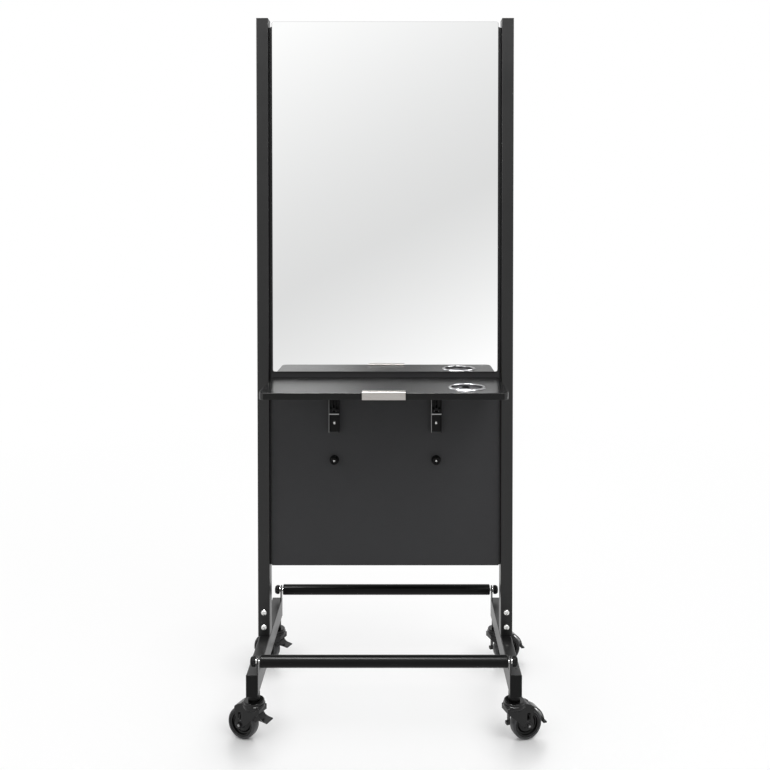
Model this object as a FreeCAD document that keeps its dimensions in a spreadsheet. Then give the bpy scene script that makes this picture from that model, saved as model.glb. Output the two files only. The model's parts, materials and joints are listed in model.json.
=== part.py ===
import FreeCAD, Part
import math
import os
import Sketcher

# Double sided salon station. Millimetres, +Z up, front side towards -Y, floor at Z 0.

DIMENSIONS = {
    # frame posts
    "post_out_x": 325, "post_wide": 30, "post_deep": 40, "post_wall": 1.5, "post_over": 18,
    "post_round": 2.5, "cap_thick": 2, "cap_plug": 12, "cap_wall": 2,
    "tongue_thick": 3, "tongue_reach": 17.5, "bolt_first": 23, "bolt_pitch": 38,
    "bolt_radius": 4, "bolt_head": 7.2, "bolt_head_tall": 4.4, "bolt_socket": 2.3,
    "bolt_socket_deep": 2.2, "bolt_tip": 0.6, "nut_radius": 7.5, "nut_tall": 6.5,
    "nut_standout": 1.5,
    # legs
    "leg_inset": 3, "leg_wide": 28, "leg_tall": 52, "leg_long": 440, "leg_wall": 2,
    "leg_round": 2.5, "end_cap_thick": 3, "end_cap_plug": 10, "spigot_inset": 16,
    "spigot_wide": 24, "spigot_deep": 36, "spigot_tall": 90, "plate_thick": 3,
    "plate_half": 12, "drain_radius": 1.5, "drain_inset": 32, "drain_off": 4,
    # foot rails
    "rail_inset": 12, "rail_lift": 27.4, "rail_radius": 14.25, "rail_wall": 1.5,
    "rail_gap": 4, "plug_flange": 3, "plug_long": 20, "plug_bevel": 2.2,
    "rail_bolt_long": 28, "collar_radius": 6.5, "collar_long": 3, "knob_radius": 12,
    "knob_tall": 13,
    # board and mirrors
    "board_gap": 4.5, "board_thick": 18, "board_foot_z": 348, "board_top_z": 1722,
    "groove_wide": 3.6, "groove_deep": 13.5, "screw_inset": 7, "screw_radius": 2,
    "screw_head": 3.9, "screw_head_tall": 1.8, "screw_long": 13, "screw_margin": 60,
    "glass_inset": 4, "glass_thick": 4, "glass_lift": 14.5, "glass_over": 12.5,
    "tape_thick": 1, "tape_half": 12, "tape_margin": 30, "glass_round": 5.5,
    "glass_edge": 0.8,
    # shelf
    "shelf_inset": 1.5, "shelf_thick": 16, "shelf_top_z": 832.5, "shelf_back_gap": 3.7,
    "shelf_front_y": 232, "shelf_round": 15,
    "pull_half": 50.3, "pull_deep": 22, "pull_thick": 3, "pull_drop": 19, "pull_round": 1.5,
    "ring_x": 197.5, "ring_y": 157.6, "ring_bore": 37, "ring_wall": 1.7, "ring_rim": 45,
    "ring_proud": 2.6, "ring_under": 5,
    # folding bracket, measured out from the board face and from the hinge axis
    "bracket_x": 130, "hinge_out": 9.5, "hinge_drop": 9, "channel_half": 13.5,
    "channel_wall": 2, "channel_deep": 14, "channel_below": 114.5, "channel_above": 4.5,
    "channel_screw": 23, "channel_pitch": 54, "wall_screw_head": 4,
    "wall_screw_radius": 1.9, "wall_screw_long": 10.4, "wall_screw_head_tall": 2.2,
    "pin_radius": 2.5, "rivet_radius": 4, "rivet_tall": 1.2,
    "arm_half": 11.1, "arm_wall": 1.5, "arm_drop": 4, "arm_back": 5.8, "arm_long": 90,
    "arm_nose": 8, "arm_screw_near": 12, "arm_screw_far": 76, "arm_screw_radius": 1.8,
    "arm_screw_head": 3.4, "arm_screw_head_tall": 1.6, "arm_screw_long": 12,
    "catch_half": 11.1, "catch_slot": 4.9, "catch_tall": 6, "catch_back": 5,
    "catch_front": 4, "bar_low": 8, "bar_reach": 8.5, "bar_half": 13, "bar_thick": 3,
    "brace_half": 4.5, "brace_edge": 4, "brace_span": 68, "brace_reach": 32,
    "brace_solid": 12, "brace_strip": 2,
    "bumper_below": 187, "bumper_radius": 12, "bumper_top": 9.6, "bumper_tall": 18.2,
    "bumper_foot": 2, "bumper_bevel": 1.4, "recess_radius": 5, "recess_seat": 12.5,
    "pad_screw_radius": 1.6, "pad_screw_head": 4.2, "pad_screw_in": 8.4, "slot_half": 0.6,
    "slot_deep": 1.2,
    # casters
    "caster_inset": 31, "caster_tall": 118, "wheel_radius": 37.5,
    "wheel_wide": 25, "trail": 30, "left_trail_x": -0.9, "left_trail_y": 0.4359,
    "right_trail_x": 0.9417, "right_trail_y": 0.3363, "cheek_in": 14.2, "cheek_out": 17,
    "tread_radius": 31, "tread_half": 10.5, "axle_radius": 4, "axle_boss": 9.5,
    "boss_tall": 1.2, "stem_radius": 6, "stem_pin": 19.2, "stem_top": 18,
    "collar_wide": 14, "collar_bevel": 1.6, "fork_head": 26.5, "fork_top_z": 97.6,
    "wheel_room": 3, "hub_radius": 9, "web_half": 3.5, "rim_inner": 26.5,
    "hub_hole_radius": 4.4, "hub_hole_ring": 17.4, "toe_pivot_x": -14, "toe_pivot_z": 65,
    "heel_pivot_x": 9.5, "heel_pivot_z": 77.6, "lever_pin": 1.8, "lever_ring": 41.4,
    "lever_thick": 2.4, "heel_slot": 4.5,
    # clearances
    "run_gap": 0.05, "loose_gap": 0.3, "slide_gap": 0.4,
}

DERIVED = {
    "post_foot_z": "caster_tall + leg_tall",
    "post_top_z": "board_top_z + post_over",
    "post_mid_x": "post_out_x - post_wide / 2",
    "bolt_low_z": "caster_tall + leg_tall + bolt_first",
    "bolt_high_z": "caster_tall + leg_tall + bolt_first + bolt_pitch",
    "leg_out_x": "post_out_x - leg_inset",
    "leg_mid_x": "post_out_x - leg_inset - leg_wide / 2",
    "spigot_x": "post_out_x - spigot_inset",
    "rail_y": "leg_long / 2 - rail_inset",
    "rail_z": "caster_tall + leg_tall + rail_lift",
    "rail_half_long": "post_out_x - leg_inset - leg_wide - rail_gap",
    "caster_y": "leg_long / 2 - caster_inset",
    "board_half": "post_out_x - post_wide - board_gap",
    "board_face": "board_thick / 2",
    "screw_x": "post_out_x - post_wide - board_gap - screw_inset",
    "glass_half": "post_out_x - post_wide - board_gap - glass_inset",
    "glass_foot_z": "shelf_top_z + glass_lift",
    "glass_top_z": "board_top_z + glass_over",
    "shelf_half": "post_out_x - post_wide - board_gap - shelf_inset",
    "shelf_back_y": "board_thick / 2 + shelf_back_gap",
    "shelf_under_z": "shelf_top_z - shelf_thick",
    "hinge_y": "board_thick / 2 + hinge_out",
    "hinge_z": "shelf_top_z - shelf_thick - hinge_drop",
    "channel_foot_z": "shelf_top_z - shelf_thick - hinge_drop - channel_below",
    "channel_top_z": "shelf_top_z - shelf_thick - hinge_drop + channel_above",
    "catch_z": "shelf_top_z - shelf_thick - hinge_drop - sqrt(brace_span ^ 2 - brace_reach ^ 2)",
    "bumper_z": "shelf_top_z - shelf_thick - hinge_drop - bumper_below",
}

NAMES = {}
doc = FreeCAD.newDocument("SalonStation")
sheet = doc.addObject("Spreadsheet::Sheet", "Sizes")
for row, (alias, number) in enumerate(DIMENSIONS.items(), start=1):
    sheet.set(f"A{row}", alias)
    sheet.set(f"B{row}", str(number))
    sheet.setAlias(f"B{row}", alias)
for row, (alias, formula) in enumerate(DERIVED.items(), start=len(DIMENSIONS) + 2):
    sheet.set(f"A{row}", alias)
    sheet.set(f"B{row}", f"={formula}")
    sheet.setAlias(f"B{row}", alias)
doc.recompute()

UP = FreeCAD.Vector(0, 0, 1)
ALONG_X = FreeCAD.Rotation(FreeCAD.Vector(0, 1, 0), 90)
ALONG_Y = FreeCAD.Rotation(FreeCAD.Vector(1, 0, 0), -90)
FACING_FRONT = FreeCAD.Rotation(FreeCAD.Vector(1, 0, 0), 90)
STRAIGHT = FreeCAD.Rotation()
HALF_TURN = FreeCAD.Rotation(UP, 180)
NEAR = 1e-4


def bind(text):
    """Put the sheet's name in front of every alias in an expression."""
    words = []
    word = ""
    for letter in str(text) + " ":
        if letter.isalnum() or letter == "_":
            word += letter
        else:
            words.append(f"Sizes.{word}" if word in DIMENSIONS or word in DERIVED else word)
            words.append(letter)
            word = ""
    return "".join(words).strip()


def size(alias):
    """Read a value of the sheet, for the few places that no expression reaches."""
    return float(getattr(sheet, alias))


def fresh(name):
    """Return a name that no other object of the document has."""
    NAMES[name] = NAMES.get(name, 0) + 1
    return f"{name}_{NAMES[name]}"


def place(thing, x, y, z, turn=STRAIGHT):
    """Bind an object's position to three expressions."""
    thing.Placement = FreeCAD.Placement(FreeCAD.Vector(), turn)
    for axis, text in zip("xyz", (x, y, z)):
        thing.setExpression(f"Placement.Base.{axis}", bind(text))
    return thing


def box(x0, x1, y0, y1, z0, z1):
    """Box between bound limits."""
    made = doc.addObject("Part::Box", fresh("Box"))
    made.setExpression("Length", bind(f"({x1}) - ({x0})"))
    made.setExpression("Width", bind(f"({y1}) - ({y0})"))
    made.setExpression("Height", bind(f"({z1}) - ({z0})"))
    return place(made, x0, y0, z0)


def rod(radius, long, x, y, z, turn=STRAIGHT):
    """Cylinder from a bound start point along its turned axis."""
    made = doc.addObject("Part::Cylinder", fresh("Rod"))
    made.setExpression("Radius", bind(radius))
    made.setExpression("Height", bind(long))
    return place(made, x, y, z, turn)


def cone(radius, end_radius, long, x, y, z, turn=STRAIGHT):
    """Cone from a bound start point along its turned axis."""
    made = doc.addObject("Part::Cone", fresh("Cone"))
    made.setExpression("Radius1", bind(radius))
    made.setExpression("Radius2", bind(end_radius))
    made.setExpression("Height", bind(long))
    return place(made, x, y, z, turn)


def hexagon(radius, long, x, y, z, turn=STRAIGHT):
    """Six sided prism from a bound start point."""
    made = doc.addObject("Part::Prism", fresh("Hexagon"))
    made.Polygon = 6
    made.setExpression("Circumradius", bind(radius))
    made.setExpression("Height", bind(long))
    return place(made, x, y, z, turn)


def join(*pieces):
    """Union of pieces."""
    made = doc.addObject("Part::MultiFuse", fresh("Join"))
    made.Shapes = list(pieces)
    made.Refine = True
    return made


def cut(base, *tools):
    """Base less one or more tools."""
    made = doc.addObject("Part::Cut", fresh("Cut"))
    made.Base = base
    made.Tool = tools[0] if len(tools) == 1 else join(*tools)
    made.Refine = True
    return made


def link(piece, x="0", y="0", z="0", turn=STRAIGHT):
    """Further copy of a piece at a bound place."""
    made = doc.addObject("App::Link", fresh("Copy"))
    made.LinkedObject = piece
    made.LinkTransform = True
    return place(made, x, y, z, turn)


def group(pieces):
    """Separate solids kept under one name."""
    made = doc.addObject("Part::Compound", fresh("Group"))
    made.Links = pieces
    return made


def outline(body, role, corners, lift="0"):
    """Closed sketch of straight edges, each corner bound by two expressions."""
    sketch = body.newObject("Sketcher::SketchObject", fresh("Outline"))
    plane = [item for item in body.Origin.OriginFeatures if item.Role == role][0]
    sketch.AttachmentSupport = [(plane, "")]
    sketch.MapMode = "FlatFace"
    sketch.setExpression("AttachmentOffset.Base.z", bind(lift))
    count = len(corners)
    spots = [FreeCAD.Vector(math.cos(2 * math.pi * step / count),
                            math.sin(2 * math.pi * step / count), 0) for step in range(count)]
    for step in range(count):
        sketch.addGeometry(Part.LineSegment(spots[step], spots[(step + 1) % count]), False)
    for step in range(count):
        sketch.addConstraint(Sketcher.Constraint("Coincident", step, 2, (step + 1) % count, 1))
    for step, (across, along) in enumerate(corners):
        for kind, text, start in (("DistanceX", across, spots[step].x),
                                  ("DistanceY", along, spots[step].y)):
            index = sketch.addConstraint(Sketcher.Constraint(kind, -1, 1, step, 1, start))
            sketch.setExpression(f"Constraints[{index}]", bind(text))
    return sketch


def disc(body, role, radius, across, along, lift="0"):
    """Circle sketch with bound radius and centre."""
    sketch = body.newObject("Sketcher::SketchObject", fresh("Disc"))
    plane = [item for item in body.Origin.OriginFeatures if item.Role == role][0]
    sketch.AttachmentSupport = [(plane, "")]
    sketch.MapMode = "FlatFace"
    sketch.setExpression("AttachmentOffset.Base.z", bind(lift))
    sketch.addGeometry(Part.Circle(FreeCAD.Vector(1, 1, 0), UP, 1), False)
    index = sketch.addConstraint(Sketcher.Constraint("Radius", 0, 1.0))
    sketch.setExpression(f"Constraints[{index}]", bind(radius))
    for kind, text in (("DistanceX", across), ("DistanceY", along)):
        index = sketch.addConstraint(Sketcher.Constraint(kind, -1, 1, 0, 3, 1.0))
        sketch.setExpression(f"Constraints[{index}]", bind(text))
    return sketch


def pad(body, sketch, long, middle=False, back=False):
    """Pad a sketch; middle spreads it both ways, back sends it against the plane."""
    made = body.newObject("PartDesign::Pad", fresh("Pad"))
    made.Profile = sketch
    made.setExpression("Length", bind(long))
    made.Midplane = middle
    made.Reversed = back
    doc.recompute()
    return made


def pocket(body, sketch, long, middle=False, back=False):
    """Pocket a sketch through the body."""
    made = body.newObject("PartDesign::Pocket", fresh("Pocket"))
    made.Profile = sketch
    made.setExpression("Length", bind(long))
    made.Midplane = middle
    made.Reversed = back
    doc.recompute()
    return made


def spin(body, sketch, axis="V_Axis", groove=False):
    """Turn a sketch a full round about one of its axes."""
    kind = "PartDesign::Groove" if groove else "PartDesign::Revolution"
    made = body.newObject(kind, fresh("Turn"))
    made.Profile = sketch
    made.ReferenceAxis = (sketch, [axis])
    made.Angle = 360
    doc.recompute()
    return made


def is_straight(edge, direction):
    """Tell whether an edge is a straight line along a direction."""
    if edge.Curve.TypeId != "Part::GeomLine":
        return False
    return abs(abs(edge.Curve.Direction.dot(direction)) - 1) < NEAR


def soften(body, feature, radius, wanted, chamfer=False):
    """Round or chamfer the edges of a feature that a test picks."""
    picked = [f"Edge{number}" for number, edge in enumerate(feature.Shape.Edges, start=1)
              if wanted(edge)]
    made = body.newObject("PartDesign::Chamfer" if chamfer else "PartDesign::Fillet",
                          fresh("Soft"))
    made.Base = (feature, picked)
    made.setExpression("Size" if chamfer else "Radius", bind(radius))
    doc.recompute()
    return made


def new_body(name):
    """Start a PartDesign body."""
    return doc.addObject("PartDesign::Body", name)


def square(x0, x1, y0, y1):
    """Corners of a rectangle as expressions."""
    return [(x0, y0), (x1, y0), (x1, y1), (x0, y1)]


PARTS = {}
X_WAY = FreeCAD.Vector(1, 0, 0)
Y_WAY = FreeCAD.Vector(0, 1, 0)


def keep(name, thing):
    """Name a finished piece for its file."""
    thing.Label = name
    PARTS[name] = thing
    return thing


# ---------------------------------------------------------------- posts
def make_post(name, sign):
    """Square post tube with the board tongue welded to its inner face."""
    body = new_body(name)
    outer = f"{sign} * post_out_x"
    inner = f"{sign} * (post_out_x - post_wide)"
    tube = pad(body, outline(body, "XY_Plane", square(inner, outer, "-post_deep / 2",
               "post_deep / 2"), "post_foot_z"), "post_top_z - post_foot_z")
    last = soften(body, tube, "post_round", lambda edge: is_straight(edge, UP))
    pocket(body, outline(body, "XY_Plane", square(
        f"{sign} * (post_out_x - post_wide + post_wall)", f"{sign} * (post_out_x - post_wall)",
        "-post_deep / 2 + post_wall", "post_deep / 2 - post_wall"), "post_top_z"),
        "post_top_z - post_foot_z")
    pad(body, outline(body, "XY_Plane", square(
        f"{sign} * (post_out_x - post_wide - tongue_reach)",
        f"{sign} * (post_out_x - post_wide + post_wall / 2)",
        "-tongue_thick / 2", "tongue_thick / 2"), "board_foot_z"), "board_top_z - board_foot_z")
    for level in LEVELS:
        pocket(body, disc(body, "XZ_Plane", "bolt_radius + loose_gap", f"{sign} * post_mid_x",
                          level), "post_deep * 2", True)
    for level in BOARD_SCREWS:
        last = pocket(body, disc(body, "XZ_Plane", "screw_radius + loose_gap",
                                 f"{sign} * screw_x", level), "tongue_thick * 2", True)
    body.Tip = last
    return keep(name, body)


LEVELS = ("bolt_low_z", "bolt_high_z")
BOARD_SCREWS = ("glass_foot_z + screw_margin", "(glass_foot_z + glass_top_z) / 2",
                "glass_top_z - screw_margin")
make_post("left_post", "-1")
make_post("right_post", "1")


def make_post_cap():
    """Plastic cap: a lid on the tube and a hollow plug inside it, on its own axis."""
    across = "(post_wide / 2 - post_wall - loose_gap)"
    along = "(post_deep / 2 - post_wall - loose_gap)"
    lid = box("-post_wide / 2", "post_wide / 2", "-post_deep / 2", "post_deep / 2",
              "0", "cap_thick")
    plug = box(f"-{across}", across, f"-{along}", along, "-cap_plug", "cap_thick / 2")
    hollow = box(f"-{across} + cap_wall", f"{across} - cap_wall", f"-{along} + cap_wall",
                 f"{along} - cap_wall", "-cap_plug * 2", "-cap_thick / 2")
    return cut(join(lid, plug), hollow)


cap = make_post_cap()
keep("post_caps", group([link(cap, f"{sign} * post_mid_x", "0", "post_top_z")
                         for sign in ("-1", "1")]))


# ---------------------------------------------------------------- legs
def make_leg(name, sign):
    """Leg beam with the post spigot and the two rail plates welded on top."""
    body = new_body(name)
    outer = f"{sign} * leg_out_x"
    inner = f"{sign} * (leg_out_x - leg_wide)"
    long = "leg_long - 2 * end_cap_thick"
    beam = pad(body, outline(body, "XZ_Plane", square(
        inner, outer, "caster_tall", "caster_tall + leg_tall")), long, True)
    soften(body, beam, "leg_round", lambda edge: is_straight(edge, Y_WAY))
    pocket(body, outline(body, "XZ_Plane", square(
        f"{sign} * (leg_out_x - leg_wide + leg_wall)", f"{sign} * (leg_out_x - leg_wall)",
        "caster_tall + leg_wall", "caster_tall + leg_tall - leg_wall")), "leg_long", True)
    pad(body, outline(body, "XY_Plane", square(
        f"{sign} * (spigot_x - spigot_wide / 2)", f"{sign} * (spigot_x + spigot_wide / 2)",
        "-spigot_deep / 2", "spigot_deep / 2"), "post_foot_z - leg_wall / 2"),
        "spigot_tall + leg_wall / 2")
    pocket(body, outline(body, "XY_Plane", square(
        f"{sign} * (spigot_x - spigot_wide / 2 + leg_wall)",
        f"{sign} * (spigot_x + spigot_wide / 2 - leg_wall)",
        "-spigot_deep / 2 + leg_wall", "spigot_deep / 2 - leg_wall"),
        "post_foot_z + spigot_tall"), "spigot_tall")
    for level in LEVELS:
        pocket(body, disc(body, "XZ_Plane", "bolt_radius + loose_gap", f"{sign} * post_mid_x",
                          level), "post_deep", True)
    plate_x = "leg_out_x - leg_wide"
    start = plate_x if sign == "1" else f"-({plate_x}) - plate_thick"
    beam_end = "(leg_long / 2 - end_cap_thick)"
    for side in ("-1", "1"):
        middle = f"{side} * rail_y"
        pad(body, outline(body, "YZ_Plane", square(
            f"{side} * (rail_y - plate_half)", f"{side} * {beam_end}",
            "post_foot_z - leg_wall / 2", "rail_z"), start), "plate_thick")
        pad(body, disc(body, "YZ_Plane", "plate_half", middle, "rail_z", start), "plate_thick")
        pocket(body, disc(body, "YZ_Plane", "bolt_radius + loose_gap", middle, "rail_z", start),
               "plate_thick", False, True)
        last = pocket(body, disc(body, "XY_Plane", "stem_radius + loose_gap",
                                 f"{sign} * leg_mid_x", f"{side} * caster_y",
                                 "caster_tall + 2 * leg_wall"), "3 * leg_wall")
    if sign == "1":
        last = pocket(body, disc(body, "XY_Plane", "drain_radius", "leg_mid_x + drain_off",
                                 "-leg_long / 2 + drain_inset", "post_foot_z + leg_wall"),
                      "3 * leg_wall")
    body.Tip = last
    return keep(name, body)


make_leg("left_leg", "-1")
make_leg("right_leg", "1")

cap_across = "(leg_wide / 2 - leg_wall - loose_gap)"
cap_foot = "(leg_wall + loose_gap)"
cap_head = "(leg_tall - leg_wall - loose_gap)"
end_cap = cut(
    join(box("-leg_wide / 2", "leg_wide / 2", "-end_cap_thick", "0", "0", "leg_tall"),
         box(f"-{cap_across}", cap_across, "-end_cap_thick / 2", "end_cap_plug", cap_foot,
             cap_head)),
    box(f"-{cap_across} + cap_wall", f"{cap_across} - cap_wall", "end_cap_thick / 3",
        "end_cap_plug * 2", f"{cap_foot} + cap_wall", f"{cap_head} - cap_wall"))
keep("leg_end_caps", group([
    link(end_cap, f"{sign} * leg_mid_x", f"{side} * (leg_long / 2 - end_cap_thick)", "caster_tall",
         STRAIGHT if side == "-1" else HALF_TURN)
    for sign in ("-1", "1") for side in ("-1", "1")]))


# ---------------------------------------------------------------- post bolts
def dome_bolt(head_radius, head_tall, shank_radius, long):
    """Domed bolt, head seat at the origin, shank along +Z."""
    body = new_body(fresh("DomeBolt"))
    spin(body, outline(body, "XZ_Plane", [
        ("0", f"-({head_tall})"), (f"({head_radius}) * 0.42", f"-({head_tall}) * 0.93"),
        (f"({head_radius}) * 0.8", f"-({head_tall}) * 0.62"),
        (f"({head_radius}) * 0.98", f"-({head_tall}) * 0.22"), (head_radius, "0"),
        (shank_radius, "0"), (shank_radius, f"({long}) - bolt_tip"),
        (f"({shank_radius}) - bolt_tip", long), ("0", long)]))
    body.Tip = pocket(body, outline(body, "XY_Plane", [
        (f"bolt_socket * cos({angle}deg)", f"bolt_socket * sin({angle}deg)")
        for angle in range(0, 360, 60)], f"-({head_tall})"), "bolt_socket_deep", False, True)
    return body


post_bolt = dome_bolt("bolt_head", "bolt_head_tall", "bolt_radius",
                      "post_deep + nut_tall + nut_standout")
keep("post_bolts", group([link(post_bolt, f"{sign} * post_mid_x", "-post_deep / 2", level,
                               ALONG_Y) for sign in ("-1", "1") for level in LEVELS]))
post_nut = cut(hexagon("nut_radius", "nut_tall", "0", "0", "0"),
               rod("bolt_radius + loose_gap", "3 * nut_tall", "0", "0", "-nut_tall"))
keep("post_nuts", group([link(post_nut, f"{sign} * post_mid_x", "post_deep / 2", level,
                              ALONG_Y) for sign in ("-1", "1") for level in LEVELS]))

# ---------------------------------------------------------------- board
CHANNEL_SCREWS = ("channel_foot_z + channel_screw",
                  "channel_foot_z + channel_screw + channel_pitch")
board = new_body("backboard")
slab = pad(board, outline(board, "XZ_Plane", square("-board_half", "board_half", "board_foot_z",
                                                    "board_top_z")), "board_thick", True)
for sign in ("-1", "1"):
    pocket(board, outline(board, "XY_Plane", square(
        f"{sign} * (board_half - groove_deep)", f"{sign} * (board_half + groove_deep)",
        "-groove_wide / 2", "groove_wide / 2"), "board_top_z"),
        "board_top_z - board_foot_z")
    for level in BOARD_SCREWS:
        pocket(board, disc(board, "XZ_Plane", "screw_radius + loose_gap", f"{sign} * screw_x",
                           level), "board_thick * 2", True)
        pocket(board, disc(board, "XZ_Plane", "screw_head + loose_gap", f"{sign} * screw_x",
                           level, "board_face"), "screw_head_tall + loose_gap")
    for height in CHANNEL_SCREWS:
        pocket(board, disc(board, "XZ_Plane", "wall_screw_radius + loose_gap",
                           f"{sign} * bracket_x", height), "board_thick * 2", True)
    board.Tip = pocket(board, disc(board, "XZ_Plane", "pad_screw_radius + loose_gap",
                                   f"{sign} * bracket_x", "bumper_z"), "board_thick * 2", True)
keep("backboard", board)
board_screw = join(rod("screw_head", "screw_head_tall", "0", "0", "loose_gap"),
                   rod("screw_radius", "screw_long", "0", "0", "screw_head_tall"))
keep("board_screws", group([link(board_screw, f"{sign} * screw_x", "-board_face", level,
                                 ALONG_Y) for sign in ("-1", "1") for level in BOARD_SCREWS]))

# ---------------------------------------------------------------- mirrors
glass = new_body("Glass")
sheet_pad = pad(glass, outline(glass, "XZ_Plane", square(
    "-glass_half", "glass_half", "glass_foot_z", "glass_top_z"),
    "board_face + tape_thick"), "glass_thick")
rounded = soften(glass, sheet_pad, "glass_round", lambda edge: is_straight(edge, Y_WAY))
front_rim = -(size("board_face") + size("tape_thick") + size("glass_thick"))
soften(glass, rounded, "glass_edge",
       lambda edge: all(abs(vertex.Y - front_rim) < NEAR for vertex in edge.Vertexes), True)
tape = group([box(f"{share} * glass_half - tape_half", f"{share} * glass_half + tape_half",
                  "-board_face - tape_thick", "-board_face", "glass_foot_z + tape_margin",
                  "board_top_z - tape_margin") for share in ("-0.8", "-0.27", "0.27", "0.8")])
for side, turn in (("front", STRAIGHT), ("rear", HALF_TURN)):
    keep(f"{side}_mirror", group([link(glass, turn=turn)]))
keep("mirror_tape", group([link(tape), link(tape, turn=HALF_TURN)]))

# ---------------------------------------------------------------- foot rails
rail_tube = cut(rod("rail_radius", "2 * (rail_half_long - plug_flange)",
                    "-(rail_half_long - plug_flange)", "0", "0", ALONG_X),
                rod("rail_radius - rail_wall", "2 * rail_half_long", "-rail_half_long",
                    "0", "0", ALONG_X))
for side, sign in (("front", "-1"), ("rear", "1")):
    keep(f"{side}_foot_rail", group([link(rail_tube, "0", f"{sign} * rail_y", "rail_z")]))

plug = new_body("Plug")
plug_bore = "bolt_radius + loose_gap"
plug_sleeve = "rail_radius - rail_wall - loose_gap"
spin(plug, outline(plug, "XZ_Plane", [
    (plug_bore, "0"), ("rail_radius - plug_bevel", "0"), ("rail_radius", "-plug_bevel"),
    ("rail_radius", "-plug_flange"), (plug_sleeve, "-plug_flange"),
    (plug_sleeve, "-plug_long"), (plug_bore, "-plug_long")]))

rail_bolt = join(rod("bolt_radius", "rail_bolt_long", "0", "0", "-rail_bolt_long - collar_long"),
                 rod("collar_radius", "2 * collar_long", "0", "0", "-collar_long"))
knob = new_body("Knob")
spin(knob, outline(knob, "XZ_Plane", [
    ("0", "collar_long"), ("collar_radius + loose_gap", "collar_long"),
    ("collar_radius + loose_gap", "0"), ("knob_radius * 0.88", "0"),
    ("knob_radius", "knob_tall * 0.13"), ("knob_radius", "knob_tall * 0.67"),
    ("knob_radius * 0.87", "knob_tall * 0.91"), ("knob_radius * 0.58", "knob_tall"),
    ("0", "knob_tall")]))
bolt_seat = "leg_out_x - leg_wide + plate_thick + collar_long"
TO_LEFT = FreeCAD.Rotation(Y_WAY, -90)
ENDS = [(sign, side, ALONG_X if sign == "1" else TO_LEFT)
        for sign in ("-1", "1") for side in ("-1", "1")]
for name, piece, start in (("rail_plugs", plug, "rail_half_long"),
                           ("rail_bolts", rail_bolt, bolt_seat),
                           ("rail_knobs", knob, bolt_seat)):
    keep(name, group([link(piece, f"{sign} * ({start})", f"{side} * rail_y", "rail_z", turn)
                      for sign, side, turn in ENDS]))

# ---------------------------------------------------------------- shelves
ARM_SCREWS = ("arm_screw_near", "arm_screw_far")
shelf = new_body("Shelf")
plank = pad(shelf, outline(shelf, "XY_Plane", square(
    "-shelf_half", "shelf_half", "-shelf_front_y", "-shelf_back_y"), "shelf_under_z"), "shelf_thick")
front_line = -size("shelf_front_y")
soften(shelf, plank, "shelf_round", lambda edge: is_straight(edge, UP)
       and abs(edge.Vertexes[0].Y - front_line) < NEAR)
pocket(shelf, disc(shelf, "XY_Plane", "ring_bore + ring_wall + loose_gap", "ring_x", "-ring_y",
                   "shelf_top_z"), "shelf_thick")
for sign in ("-1", "1"):
    for reach in ARM_SCREWS:
        shelf.Tip = pocket(shelf, disc(
            shelf, "XY_Plane", "arm_screw_radius + loose_gap", f"{sign} * bracket_x",
            f"-hinge_y - {reach}", "shelf_under_z + arm_screw_long - arm_wall / 2"),
            "arm_screw_long")

pull = new_body("Pull")
pull_side = [("-shelf_front_y - pull_thick", "shelf_top_z - pull_drop + pull_thick"),
             ("-shelf_front_y", "shelf_top_z - pull_drop + pull_thick"),
             ("-shelf_front_y", "shelf_top_z"),
             ("-shelf_front_y + pull_deep - pull_thick", "shelf_top_z"),
             ("-shelf_front_y + pull_deep - pull_thick", "shelf_top_z + pull_thick"),
             ("-shelf_front_y - pull_thick + pull_round", "shelf_top_z + pull_thick"),
             ("-shelf_front_y - pull_thick + pull_round * 0.29",
              "shelf_top_z + pull_thick - pull_round * 0.29"),
             ("-shelf_front_y - pull_thick", "shelf_top_z + pull_thick - pull_round")]
pad(pull, outline(pull, "YZ_Plane", pull_side), "2 * pull_half", True)

ring = new_body("Ring")
spin(ring, outline(ring, "XZ_Plane", [
    ("ring_bore", "-shelf_thick - ring_under"),
    ("ring_bore + ring_wall", "-shelf_thick - ring_under"), ("ring_bore + ring_wall", "0"),
    ("ring_rim", "0"), ("ring_rim", "ring_proud * 0.3"),
    ("ring_rim - ring_proud * 0.3", "ring_proud * 0.72"), ("ring_rim - ring_proud", "ring_proud"),
    ("ring_bore + ring_proud", "ring_proud"),
    ("ring_bore + ring_proud * 0.3", "ring_proud * 0.72"),
    ("ring_bore", "ring_proud * 0.2")]))

# bracket pieces lie about the hinge axis: y outward is negative, z up
arm_plate = new_body("ArmPlate")
arm_side = [("arm_back", "-arm_drop"), ("-arm_long + arm_nose", "-arm_drop"),
            ("-arm_long", "-arm_drop + arm_nose / 2"), ("-arm_long", "hinge_drop"),
            ("arm_back", "hinge_drop")]
pad(arm_plate, outline(arm_plate, "YZ_Plane", arm_side), "2 * arm_half", True)
pocket(arm_plate, outline(arm_plate, "YZ_Plane", square(
    "-2 * arm_long", "arm_long", "-2 * arm_drop", "hinge_drop - arm_wall")),
    "2 * (arm_half - arm_wall)", True)
pocket(arm_plate, disc(arm_plate, "YZ_Plane", "pin_radius + run_gap", "0", "0"),
       "4 * arm_half", True)
for reach in ARM_SCREWS:
    arm_plate.Tip = pocket(arm_plate, disc(arm_plate, "XY_Plane", "arm_screw_radius + loose_gap",
                                           "0", f"-{reach}", "hinge_drop"), "arm_wall")
arm_screw = join(rod("arm_screw_head", "arm_screw_head_tall", "0", "0",
                     "hinge_drop - arm_wall - arm_screw_head_tall"),
                 rod("arm_screw_radius", "arm_screw_long", "0", "0", "hinge_drop - arm_wall"))

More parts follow.
